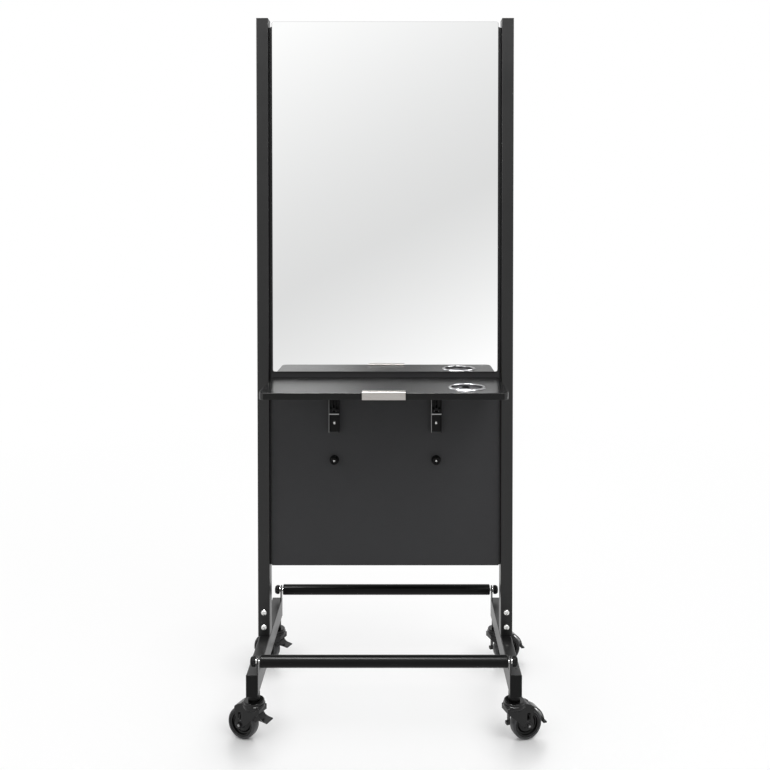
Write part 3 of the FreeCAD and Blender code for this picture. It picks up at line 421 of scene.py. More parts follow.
@dataclass(frozen=True)
class Studio:
    """Pale floor, soft light, surroundings and the camera."""

    floor_radius: float = 3.8
    floor_points: int = 96
    floor_colour: float = 0.95
    floor_rough: float = 0.55
    floor_gloss: float = 0.2
    floor_sheen: float = 0.2
    floor_sheen_rough: float = 0.3
    floor_contact: float = 0.0
    floor_near: float = 0.62
    floor_white: float = 0.85
    contact_band: tuple[float, float] = (0.01, 0.14)
    clear_band: tuple[float, float] = (0.5, 0.8)
    rim_margin: float = 0.3
    even_light: float = 0.62
    second_bounce: float = 2.5
    flattest: float = 0.05
    mirror_dip: float = 0.735
    dip_tilt: float = 0.56
    dip_reach: tuple[float, float] = (0.3, -0.2)
    dip_curve: float = 1.35
    overhead_tone: float = 0.45
    overhead_band: tuple[float, float] = (0.6, 0.9)
    room_tones: tuple[tuple[float, float], ...] = (
        (-0.2, 0.7), (-0.13, 1.0), (-0.08, 0.85), (-0.016, 0.2), (0.035, 0.4), (0.09, 0.7),
        (0.14, 0.5), (0.3, 0.4))
    lens: float = 41.49
    shift: tuple[float, float] = (-0.01795, -0.1766)
    eye: tuple[float, float, float] = (0.0347, -2.2669, 1.2064)
    pitch_deg: float = 88.81
    lamps: tuple[Lamp, ...] = (
        Lamp("key_softbox", (1.6, -1.9, 3.3), (0.0, 0.0, 0.7), 1.6, 1.2, 46.0),
        Lamp("fill_softbox", (-2.6, -2.4, 2.2), (0.0, 0.0, 0.9), 2.0, 2.0, 22.0),
        Lamp("back_softbox", (0.3, 2.8, 2.8), (0.0, 0.0, 0.8), 1.8, 1.2, 50.0,
             Lights.EVEN),
        Lamp("top_strip", (-0.5, -0.7, 3.0), (-0.3, -0.2, 0.3), 2.2, 0.3, 170.0,
             Lights.GLINTS),
    )

    def build(self) -> None:
        """Make everything round the object."""
        bpy.context.scene.view_settings.view_transform = "Standard"
        self._make_floor()
        self._make_world()
        for lamp in self.lamps:
            lamp.build()
        data = bpy.data.cameras.new("view_camera")
        data.lens = self.lens
        data.shift_x, data.shift_y = self.shift
        camera = new_object("view_camera", data)
        camera.location = self.eye
        camera.rotation_euler = (math.radians(self.pitch_deg), 0.0, 0.0)
        bpy.context.scene.camera = camera

    def _make_floor(self) -> None:
        """Round pale floor: shown near white, fading to white at its rim, shadow kept."""
        turns = [math.tau * step / self.floor_points for step in range(self.floor_points)]
        mesh = bpy.data.meshes.new("studio_floor")
        mesh.from_pydata([(self.floor_radius * math.cos(turn), self.floor_radius * math.sin(turn),
                           0.0) for turn in turns], [], [tuple(range(self.floor_points))])
        mesh.materials.append(self._floor_finish())
        floor = new_object("studio_floor", mesh)

    def _floor_finish(self) -> Material:
        """Pale floor with a slight sheen that adds its own white where it is looked at."""
        made = bpy.data.materials.new("floor_white")
        made.use_nodes = True
        tree = made.node_tree
        level = self.floor_colour
        shader = tree.nodes["Principled BSDF"]
        feed(tree, shader, {"Base Color": (level, level, level, 1.0),
                            "Roughness": self.floor_rough,
                            "Specular IOR Level": self.floor_gloss})
        sheen = node(tree, "ShaderNodeBsdfGlossy")
        feed(tree, sheen, {"Roughness": self.floor_sheen_rough})
        path = node(tree, "ShaderNodeLightPath").outputs
        glossed = mix_shaders(tree, math_node(tree, "MULTIPLY", path["Is Camera Ray"],
                                              self.floor_sheen), shader, sheen)
        mirrored = math_node(tree, "MAXIMUM", path["Is Glossy Ray"],
                             path["Is Transmission Ray"])
        looked_at = math_node(tree, "MAXIMUM", path["Is Camera Ray"], mirrored)
        shown = math_node(tree, "MULTIPLY", self._floor_tone(tree), looked_at)
        mixed = mix_shaders(tree, shown, glossed, node(tree, "ShaderNodeEmission"))
        link(tree, mixed.outputs[0], tree.nodes["Material Output"].inputs["Surface"])
        return made

    def _floor_tone(self, tree: Tree) -> Plug:
        """How white the floor looks: least at the wheels, wholly at its rim."""
        place = own_place(tree)
        away = node(tree, "ShaderNodeVectorMath", operation="LENGTH")
        link(tree, place, away.inputs[0])
        middle = away.outputs["Value"]
        beside = spread(tree, self._wheel_distance(tree, place), self.floor_contact,
                        self.floor_near, *self.contact_band)
        clear = spread(tree, middle, 0.0, 1.0, *self.clear_band)
        near = math_node(tree, "ADD", beside, math_node(
            tree, "MULTIPLY", clear, self.floor_white - self.floor_near))
        far = spread(tree, middle, 0.0, 1.0 - self.floor_white, self.clear_band[1],
                     self.floor_radius - self.rim_margin)
        return math_node(tree, "ADD", near, far)

    @staticmethod
    def _wheel_distance(tree: Tree, place: Plug) -> Plug:
        """Distance on the floor to the nearest wheel.

        Args:
            tree: The floor's node tree.
            place: Where on the floor the ray lands.

        Returns:
            The distance in metres.
        """
        nearest: object = 1.0
        for joint in frame["joints"]:
            if joint["name"].endswith("_roll"):
                apart = node(tree, "ShaderNodeVectorMath", operation="DISTANCE")
                link(tree, place, apart.inputs[0])
                apart.inputs[1].default_value = (joint["pos_m"][0], joint["pos_m"][1], 0.0)
                nearest = math_node(tree, "MINIMUM", apart.outputs["Value"], nearest)
        return nearest

    def _make_world(self) -> None:
        """White surroundings: plain light for shading, a soft slanted dip for mirrors."""
        world = bpy.data.worlds.new("studio_world")
        bpy.context.scene.world = world
        world.use_nodes = True
        tree = world.node_tree
        split = node(tree, "ShaderNodeSeparateXYZ")
        link(tree, node(tree, "ShaderNodeTexCoord").outputs["Generated"], split.inputs[0])
        depth = math_node(tree, "MAXIMUM", math_node(tree, "ABSOLUTE", split.outputs["Y"]),
                          self.flattest)
        aside = math_node(tree, "DIVIDE", split.outputs["X"], depth)
        path = node(tree, "ShaderNodeLightPath").outputs
        twice = math_node(tree, "GREATER_THAN", path["Ray Depth"], self.second_bounce)
        glossy = choose(tree, twice, self._mirror_tone(tree, split, depth),
                        self._room_tone(tree, aside))
        plain = choose(tree, path["Is Diffuse Ray"], glossy, self.even_light)
        feed(tree, tree.nodes["Background"], {
            "Color": (1.0, 1.0, 1.0, 1.0),
            "Strength": choose(tree, path["Is Camera Ray"], plain, 1.0)})

    def _mirror_tone(self, tree: Tree, split: Node, depth: Plug) -> Plug:
        """Brightness of the surroundings in a first reflection.

        Args:
            tree: The world's node tree.
            split: Node with the ray's direction, split in X, Y and Z.
            depth: How much the ray runs towards the front or the rear.

        Returns:
            The brightness: a slanted dip at eye level, and darker overhead.
        """
        tilt = math_node(tree, "MULTIPLY", split.outputs["X"], self.dip_tilt)
        rise = math_node(tree, "SUBTRACT", split.outputs["Z"], tilt)
        slope = math_node(tree, "DIVIDE", rise, depth)
        above, below = [spread(tree, slope, 0.0, 1.0, 0.0, reach) for reach in self.dip_reach]
        dip = math_node(tree, "POWER", math_node(tree, "MAXIMUM", above, below),
                        self.dip_curve)
        overhead = spread(tree, split.outputs["Z"], 1.0, self.overhead_tone,
                          *self.overhead_band)
        return math_node(tree, "MULTIPLY", spread(tree, dip, self.mirror_dip, 1.0), overhead)

    def _room_tone(self, tree: Tree, aside: Plug) -> Plug:
        """Brightness of the surroundings from one side to the other, in second reflections.

        Args:
            tree: The world's node tree.
            aside: Sideways slope of the ray.

        Returns:
            The brightness.
        """
        ramp = node(tree, "ShaderNodeValToRGB")
        low, high = self.room_tones[0][0], self.room_tones[-1][0]
        stops = ramp.color_ramp.elements
        for index, (slope, tone) in enumerate(self.room_tones):
            place = (slope - low) / (high - low)
            stop = stops[index] if index < 2 else stops.new(place)
            stop.position = place
            stop.color = (tone, tone, tone, 1.0)
        put(tree, ramp.inputs[0], spread(tree, aside, 0.0, 1.0, low, high))
        return ramp.outputs["Color"]


# ------------------------------------------------------------------ mesh making
ARC_STEPS = 4
ARC_SHARE = 0.48
SHORT_ARC = 1e-4
STRAIGHT = math.radians(89)
CROSS_ARM = 0.26
FLAT_DEG = 0.4
BEVEL_DEG = 32.0
NORMAL_WEIGHT = 70


class Outline(Enum):
    """Outline of one ring of a turned piece."""

    ROUND = "round"
    SIX = "six-sided"
    CROSS = "cross"

    def reach(self, radius: float, turn: float) -> float:
        """Distance from the axis at one angle."""
        if self is Outline.SIX:
            return (radius * math.cos(math.pi / 6)
                    / math.cos((turn % (math.pi / 3)) - math.pi / 6))
        if self is Outline.CROSS:
            high = max(abs(math.cos(turn)), abs(math.sin(turn)))
            low = max(min(abs(math.cos(turn)), abs(math.sin(turn))), TINY)
            return min(radius / high, radius * CROSS_ARM / low)
        return radius


SIX, CROSS = Outline.SIX, Outline.CROSS
Ring = tuple[float, float] | tuple[float, float, Outline]


def rounded(points: Profile, radius: float | Sequence[float]) -> list[tuple[float, float]]:
    """Round the inner corners of an open profile.

    Args:
        points: Corners of the profile, in mm.
        radius: One radius, or one for each corner.

    Returns:
        The profile with an arc at each inner corner.
    """
    radii = [radius] * len(points) if isinstance(radius, (int, float)) else list(radius)
    made = [tuple(points[0])]
    for index in range(1, len(points) - 1):
        corner = Vector(points[index])
        back = Vector(points[index - 1]) - corner
        ahead = Vector(points[index + 1]) - corner
        half = back.angle(ahead, math.pi) / 2
        reach = min(radii[index] / max(math.tan(half), TINY), back.length * ARC_SHARE,
                    ahead.length * ARC_SHARE)
        if reach < SHORT_ARC or half > STRAIGHT:
            made.append(tuple(corner))
            continue
        start = corner + back.normalized() * reach
        end = corner + ahead.normalized() * reach
        for step in range(ARC_STEPS + 1):
            share = step / ARC_STEPS
            near = start.lerp(corner, share)
            far = corner.lerp(end, share)
            made.append(tuple(near.lerp(far, share)))
    made.append(tuple(points[-1]))
    return made


def dome(radius: float, tall: float, foot: float,
         degrees: Sequence[float]) -> list[tuple[float, float]]:
    """Profile of a domed head, from its rim upwards.

    Args:
        radius: Radius of the head in mm.
        tall: Height of the head in mm.
        foot: Share of the height that stands upright under the dome.
        degrees: Angle of each point from the top.

    Returns:
        The points.
    """
    return [(radius * math.sin(turn), tall * (foot + (1.0 - foot) * math.cos(turn)))
            for turn in map(math.radians, degrees)]


def both_faces(side: Profile) -> list[tuple[float, float]]:
    """Closed profile from its upper half, mirrored downwards."""
    return list(side) + [(radius, -height) for radius, height in reversed(side)] + [side[0]]


def ring_points(ring: Ring, segments: int) -> list[tuple[float, float, float]]:
    """Points of one ring in metres, or the single one of a ring on the axis."""
    radius, height = ring[0], ring[1] * MM
    if radius < TINY:
        return [(0.0, 0.0, height)]
    outline = ring[2] if len(ring) > 2 else Outline.ROUND
    points = []
    for step in range(segments):
        turn = math.tau * step / segments
        reach = outline.reach(radius, turn)
        points.append((reach * math.cos(turn) * MM, reach * math.sin(turn) * MM, height))
    return points


def turned(profile: Sequence[Ring], segments: int = 48) -> Mesh:
    """Turn a profile about the z axis.

    Args:
        profile: Radius and height in mm at each ring, with its outline if it isn't round.
            A closed shape starts and ends on the axis, or repeats its first point.
        segments: Faces round the axis.

    Returns:
        The mesh, in metres.
    """
    shape = bmesh.new()
    rows = [[shape.verts.new(point) for point in ring_points(ring, segments)]
            for ring in profile]
    for low, high in zip(rows, rows[1:]):
        for step in range(segments):
            after = (step + 1) % segments
            corners = [low[step % len(low)], low[after % len(low)],
                       high[after % len(high)], high[step % len(high)]]
            unique = list(dict.fromkeys(corners))
            if len(unique) > 2:
                shape.faces.new(unique)
    bmesh.ops.remove_doubles(shape, verts=shape.verts, dist=TINY)
    bmesh.ops.recalc_face_normals(shape, faces=shape.faces)
    mesh = bpy.data.meshes.new("turned")
    shape.to_mesh(mesh)
    shape.free()
    return mesh


def node_copy(name: str) -> Mesh:
    """Welded copy of a CAD node's mesh, with its flat faces joined."""
    shape = bmesh.new()
    shape.from_mesh(bpy.data.objects[name].data)
    bmesh.ops.remove_doubles(shape, verts=shape.verts, dist=TINY)
    bmesh.ops.dissolve_limit(shape, angle_limit=math.radians(FLAT_DEG), verts=shape.verts,
                             edges=shape.edges)
    mesh = bpy.data.meshes.new(name)
    shape.to_mesh(mesh)
    shape.free()
    if "custom_normal" in mesh.attributes:
        mesh.attributes.remove(mesh.attributes["custom_normal"])
    mesh.materials.clear()
    return mesh


def evaluated(piece: Piece) -> Mesh:
    """Plain mesh of a piece with its modifiers worked out."""
    graph = bpy.context.evaluated_depsgraph_get()
    return bpy.data.meshes.new_from_object(piece.evaluated_get(graph), depsgraph=graph)


def finished(mesh: Mesh, width: float = 0.0, segments: int = 2,
             sharp_deg: float = 38.0) -> Mesh:
    """Soften the edges of a mesh and smooth its shading.

    Args:
        mesh: The mesh to finish.
        width: Width of the edge rounding in mm, or 0 for none.
        segments: Segments in each rounding.
        sharp_deg: Edges bent more than this stay crisp.

    Returns:
        The finished mesh.
    """
    for face in mesh.polygons:
        face.use_smooth = True
    if width == 0.0:
        mesh.set_sharp_from_angle(angle=math.radians(sharp_deg))
    holder = new_object("holder", mesh)
    if width > 0.0:
        soft = holder.modifiers.new("soft_edges", "BEVEL")
        soft.width = width * MM
        soft.segments = segments
        soft.limit_method = "ANGLE"
        soft.angle_limit = math.radians(BEVEL_DEG)
        soft.use_clamp_overlap = False
        soft.miter_outer = "MITER_ARC"
    even = holder.modifiers.new("even_shading", "WEIGHTED_NORMAL")
    even.weight = NORMAL_WEIGHT
    even.keep_sharp = True
    made = evaluated(holder)
    bpy.data.objects.remove(holder)
    return made


# ------------------------------------------------------------------ repeated pieces
class RepeatTree:
    """Base of the Geometry Nodes trees: copies end realised and with their finish."""

    def __init__(self, name: str) -> None:
        self.tree = bpy.data.node_groups.new(name, "GeometryNodeTree")
        self.inputs = {"Geometry": add_socket(self.tree, "Geometry", Socket.SHAPE),
                       "Item": add_socket(self.tree, "Item", Socket.OBJECT),
                       "Finish": add_socket(self.tree, "Finish", Socket.MATERIAL)}
        add_socket(self.tree, "Geometry", Socket.SHAPE, output=True)
        self.inlet = node(self.tree, "NodeGroupInput")
        self.outlet = node(self.tree, "NodeGroupOutput")

    def _close(self, points: Plug, turn: Plug) -> None:
        """Put the item on the points, realise the copies and give them their finish."""
        tree = self.tree
        item = node(tree, "GeometryNodeObjectInfo")
        feed(tree, item, {"Object": self.inlet.outputs["Item"]})
        copies = node(tree, "GeometryNodeInstanceOnPoints")
        feed(tree, copies, {"Points": points, "Instance": item.outputs["Geometry"],
                            "Rotation": turn})
        real = node(tree, "GeometryNodeRealizeInstances")
        link(tree, copies.outputs[0], real.inputs[0])
        dressed = node(tree, "GeometryNodeSetMaterial")
        feed(tree, dressed, {"Geometry": real.outputs[0],
                             "Material": self.inlet.outputs["Finish"]})
        link(tree, dressed.outputs[0], self.outlet.inputs[0])

    def run(self, base: Mesh, item: Mesh, finish: Material, **sizes: float | int) -> Mesh:
        """Run the tree.

        Args:
            base: Mesh that the tree starts from.
            item: Mesh that is repeated.
            finish: Material of the copies.
            sizes: The tree's other named inputs.

        Returns:
            One plain mesh of all the copies.
        """
        carrier = new_object("carrier", base)
        sample = new_object("sample", item)
        modifier = carrier.modifiers.new("repeat", "NODES")
        modifier.node_group = self.tree
        modifier[self.inputs["Item"]] = sample
        modifier[self.inputs["Finish"]] = finish
        for name, value in sizes.items():
            modifier[self.inputs[name]] = value
        made = evaluated(carrier)
        carrier.modifiers.clear()
        bpy.data.objects.remove(carrier)
        bpy.data.objects.remove(sample)
        return made


class FastenerRows(RepeatTree):
    """Equal pieces: one copy on each point, facing its own way and turned by chance."""

    seed = 7

    def __init__(self) -> None:
        super().__init__("fastener_rows")
        tree = self.tree
        self.inputs["Turn"] = add_socket(tree, "Turn", Socket.NUMBER, value=1.0)
        facing = node(tree, "GeometryNodeInputNamedAttribute", data_type="FLOAT_VECTOR")
        facing.inputs["Name"].default_value = "facing"
        aligned = node(tree, "FunctionNodeAlignRotationToVector", axis="Z")
        link(tree, facing.outputs["Attribute"], aligned.inputs["Vector"])
        chance = node(tree, "FunctionNodeRandomValue", data_type="FLOAT")
        chance.inputs["Seed"].default_value = self.seed
        spin = node(tree, "FunctionNodeAxisAngleToRotation")
        link(tree, math_node(tree, "MULTIPLY", chance.outputs[1], self.inlet.outputs["Turn"]),
             spin.inputs["Angle"])
        turned_more = node(tree, "FunctionNodeRotateRotation", rotation_space="LOCAL")
        link(tree, aligned.outputs[0], turned_more.inputs[0])
        link(tree, spin.outputs[0], turned_more.inputs[1])
        self._close(self.inlet.outputs["Geometry"], turned_more.outputs[0])

    def lay(self, item: Mesh, finish: Material, places: Sequence[Seat], turn: float) -> Mesh:
        """Lay fasteners.

        Args:
            item: The fastener, along z with its head up.
            finish: Its material.
            places: Where each head seats, in mm, and the way it faces.
            turn: Largest random turn about its own axis, in radians.

        Returns:
            One plain mesh.
        """
        base = bpy.data.meshes.new("seats")
        base.from_pydata([tuple(Vector(place) * MM) for place, _ in places], [], [])
        facing = base.attributes.new("facing", "FLOAT_VECTOR", "POINT")
        for index, (_, way) in enumerate(places):
            facing.data[index].vector = way
        return self.run(base, item, finish, Turn=turn)


class RibCircle(RepeatTree):
    """Flutes and the like: copies evenly round the z axis, each turned outwards."""

    def __init__(self) -> None:
        super().__init__("rib_circle")
        tree = self.tree
        self.inputs["Count"] = add_socket(tree, "Count", Socket.COUNT, value=6)
        self.inputs["Radius"] = add_socket(tree, "Radius", Socket.NUMBER, value=0.01)
        circle = node(tree, "GeometryNodeMeshCircle")
        feed(tree, circle, {"Vertices": self.inlet.outputs["Count"],
                            "Radius": self.inlet.outputs["Radius"]})
        aligned = node(tree, "FunctionNodeAlignRotationToVector", axis="X", pivot_axis="Z")
        link(tree, node(tree, "GeometryNodeInputPosition").outputs[0], aligned.inputs["Vector"])
        self._close(circle.outputs[0], aligned.outputs[0])

    def ring(self, item: Mesh, finish: Material, count: int, radius: float) -> Mesh:
        """Set ribs in a circle of a radius in mm."""
        return self.run(bpy.data.meshes.new("centre"), item, finish, Count=count,
                        Radius=radius * MM)


# ------------------------------------------------------------------ the station
FRONT = Vector((0.0, -1.0, 0.0))
REAR = Vector((0.0, 1.0, 0.0))
UP = Vector((0.0, 0.0, 1.0))
DOWN = Vector((0.0, 0.0, -1.0))
FACING = 0.9  # least share of a face's normal along an axis to count as facing that way


class Side(Enum):
    """The two working sides."""

    FRONT = "front"
    REAR = "rear"

    @property
    def way(self) -> Vector:
        """The way that this side faces."""
        return FRONT if self is Side.FRONT else REAR


def span(name: str) -> tuple[Vector, Vector]:
    """Lowest and highest corner of a CAD node, in mm."""
    low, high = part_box(name)
    return Vector(low) / MM, Vector(high) / MM


def middle_of(name: str) -> Vector:
    """Middle of a CAD node's box, in mm."""
    low, high = span(name)
    return (low + high) / 2


def inset_corners(node_name: str, inset: float) -> tuple[tuple[float, ...], tuple[float, ...]]:
    """Where copies in the corners of a node's box have their axes.

    Args:
        node_name: CAD node that holds the copies.
        inset: Radius of one copy in mm.

    Returns:
        The two x values and the two z values.
    """
    low, high = span(node_name)
    return (low.x + inset, high.x - inset), (low.z + inset, high.z - inset)


@dataclass
class Workshop:
    """Finishes, slots and repeat trees that every sub-assembly uses."""

    finishes: dict[str, Material]
    rows: FastenerRows
    ribs: RibCircle

    def __post_init__(self) -> None:
        """Look up each node's slot and body in the record."""
        record = frame["record"]
        self.slots = {entry["node"]: entry["material_slot"] for entry in record["subparts"]}
        self.bodies = {name: body for body, names in record["behaviour"]["bodies"].items()
                       for name in names}

    def finish(self, name: str) -> Material:
        """A finish by its own name."""
        return self.finishes[name]

    def finish_of(self, node_name: str) -> Material:
        """Finish of a CAD node, from its slot."""
        return self.finishes[SLOT_FINISH[self.slots[node_name]]]

    def dress(self, node_name: str) -> None:
        """Give a CAD node that stays as it is its finish."""
        solid = bpy.data.objects[node_name]
        solid.data.materials.clear()
        solid.data.materials.append(self.finish_of(node_name))
        LOG.info("dressed %s", node_name)

    def keep(self, name: str, mesh: Mesh, like: str, finish: str | None = None,
             place: Matrix | None = None) -> Piece:
        """Finish a new piece, tie it to its body and let it stand for its CAD node.

        Args:
            name: Name of the piece.
            mesh: Its mesh, in metres.
            like: CAD node that it stands for.
            finish: Finish by name, or the node's own.
            place: Where the mesh goes, if it isn't there already.

        Returns:
            The piece.
        """
        if place is not None:
            mesh.transform(place)
        mesh.materials.clear()
        mesh.materials.append(self.finish(finish) if finish else self.finish_of(like))
        for face in mesh.polygons:
            face.material_index = 0
        mesh.name = name
        piece = new_object(name, mesh)
        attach(piece, self.bodies[like])
        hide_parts(like)
        LOG.info("%s: %d faces", name, len(mesh.polygons))
        return piece

    def lay(self, like: str, suffix: str, item: Mesh, seats: Sequence[Seat],
            turn: float = 1.5) -> Piece:
        """Stand-in for a CAD node of equal solids: one copy of an item on each seat.

        Args:
            like: CAD node that the copies stand for.
            suffix: What follows the node's name in the name of the piece.
            item: The repeated mesh, finished, along z with its head up.
            seats: Where each copy goes, in mm, and the way it faces.
            turn: Largest random turn of a copy about its own axis, in radians.

        Returns:
            The piece that holds all the copies.
        """
        mesh = self.rows.lay(item, self.finish_of(like), seats, turn)
        return self.keep(f"{like}_{suffix}", mesh, like)

    def repaint(self, piece: Piece, finish: str, test: Callable[[Vector, Vector], bool]) -> None:
        """Give some faces of a piece a second finish.

        Args:
            piece: The piece.
            finish: The second finish, by name.
            test: Says from a face's centre in mm and its normal whether it takes it.
        """
        mesh = piece.data
        mesh.materials.append(self.finish(finish))
        for face in mesh.polygons:
            if test(face.center / MM, face.normal):
                face.material_index = len(mesh.materials) - 1

    def soften(self, node_name: str, width: float, finish: str | None = None,
               segments: int = 2) -> Piece:
        """Stand-in for a CAD node with its edges rounded."""
        mesh = finished(node_copy(node_name), width, segments)
        return self.keep(f"{node_name}_soft", mesh, node_name, finish)


@dataclass
class MainFrame:
    """Posts, legs, their caps and the bolts that join them."""

    shop: Workshop
    cap_edge: float = 0.7
    end_cap_edge: float = 1.1
    leg_edge: float = 0.5
    head_radius: float = 7.2
    head_tall: float = 4.4
    shank: float = 4.0
    socket: float = 2.5
    nut_radius: float = 7.5
    nut_tall: float = 6.5
    play: float = 0.3
    dome_foot: float = 0.12
    bolt_turn: float = 1.0

    def build(self) -> None:
        """Make and dress the frame."""
        for name in ("left_post", "right_post"):
            self.shop.dress(name)
        for name in ("left_leg", "right_leg"):
            self.shop.soften(name, self.leg_edge)
        self.shop.soften("post_caps", self.cap_edge)
        self.shop.soften("leg_end_caps", self.end_cap_edge, segments=3)
        self._bolts()
        self._nuts()

    def _seats(self, face: float, way: Vector) -> list[Seat]:
        """Centres of the four post bolts on one face of the posts."""
        across, levels = inset_corners("post_bolts", self.head_radius)
        return [(Vector((x, face, z)), way) for x in across for z in levels]

    def _bolts(self) -> None:
        """Domed bolts with a six-sided socket, their shanks through the posts."""
        radius, tall, shank, socket = self.head_radius, self.head_tall, self.shank, self.socket
        post = span("left_post")[0].y
        deep = span("post_bolts")[1].y - post
        profile = ([(0.0, -deep), (shank - 0.6, -deep), (shank, -deep + 0.6), (shank, 0.0),
                    (radius, 0.0)] + dome(radius, tall, self.dome_foot, range(90, 20, -10))
                   + [(socket + 0.25, tall * 0.97, SIX), (socket, tall * 0.9, SIX),
                      (socket * 0.96, tall * 0.5, SIX), (0.0, tall * 0.36)])
        self.shop.lay("post_bolts", "domed", finished(turned(profile)),
                      self._seats(post, FRONT), self.bolt_turn)

    def _nuts(self) -> None:
        """Flanged six-sided nuts behind the posts."""
        outer, tall = self.nut_radius, self.nut_tall
        bore = self.shank + self.play
        profile = [(bore, 0.0), (outer * 0.86, 0.0), (outer * 0.98, 0.4, SIX),
                   (outer, 0.9, SIX), (outer, tall - 0.9, SIX), (outer * 0.93, tall - 0.3, SIX),
                   (outer * 0.84, tall), (bore + 0.5, tall), (bore, tall - 0.5), (bore, 0.0)]
        self.shop.lay("post_nuts", "chamfered", finished(turned(profile)),
                      self._seats(span("left_post")[1].y, REAR), self.bolt_turn)


@dataclass
class ScrewSet:
    """One kind of crosshead screw and where its copies seat."""

    shop: Workshop
    node: str
    head_radius: float
    head_tall: float
    shank: float
    long: float
    domed: bool = True
    dome_foot: float = 0.25
    thread_pitch: float = 1.3
    plain_ends: float = 2.0
    segments: int = 32

    def build(self, seats: Sequence[Seat]) -> Piece:
        """Make the screws.

        Args:
            seats: Under-head place of each screw in mm, and the way its head faces.

        Returns:
            The piece that holds them all.
        """
        radius, tall, shank = self.head_radius, self.head_tall, self.shank
        if self.domed:
            head = dome(radius, tall, self.dome_foot, (90, 75, 60, 48, 38))
        else:
            head = [(radius, tall * 0.8), (radius * 0.94, tall), (radius * 0.75, tall)]
        cross = radius * 0.56
        recess = [(cross * 1.05, tall * 0.985, CROSS), (cross, tall * 0.9, CROSS),
                  (cross * 0.6, tall * 0.35, CROSS), (0.0, tall * 0.25)]
        threads = []
        height = -self.long + self.plain_ends
        while height < -self.plain_ends:
            threads += [(shank * 0.84, height), (shank, height + self.thread_pitch / 2)]
            height += self.thread_pitch
        profile = ([(0.0, -self.long), (shank * 0.5, -self.long + 1.0)] + threads
                   + [(shank, -1.2), (shank, 0.0), (radius, 0.0)] + head + recess)
        return self.shop.lay(self.node, "crosshead", finished(turned(profile, self.segments)),
                             seats)


@dataclass
class MirrorBoard:
    """Backboard, its screws, the two mirrors and the tape that holds them."""

    shop: Workshop
    board_edge: float = 0.9
    screw_head: float = 3.9
    screw_tall: float = 1.5
    screw_shank: float = 2.0
    screw_long: float = 13.0

    def build(self) -> None:
        """Make and dress the board and mirrors."""
        self.shop.soften("backboard", self.board_edge)
        for side in Side:
            self.shop.dress(f"{side.value}_mirror")
        self.shop.dress("mirror_tape")
        across, (lowest, highest) = inset_corners("board_screws", self.screw_head)
        seat = span("board_screws")[0].y + self.screw_tall
        ScrewSet(self.shop, "board_screws", self.screw_head, self.screw_tall, self.screw_shank,
                 self.screw_long, domed=False).build(
            [(Vector((x, seat, z)), FRONT) for x in across
             for z in (lowest, (lowest + highest) / 2, highest)])


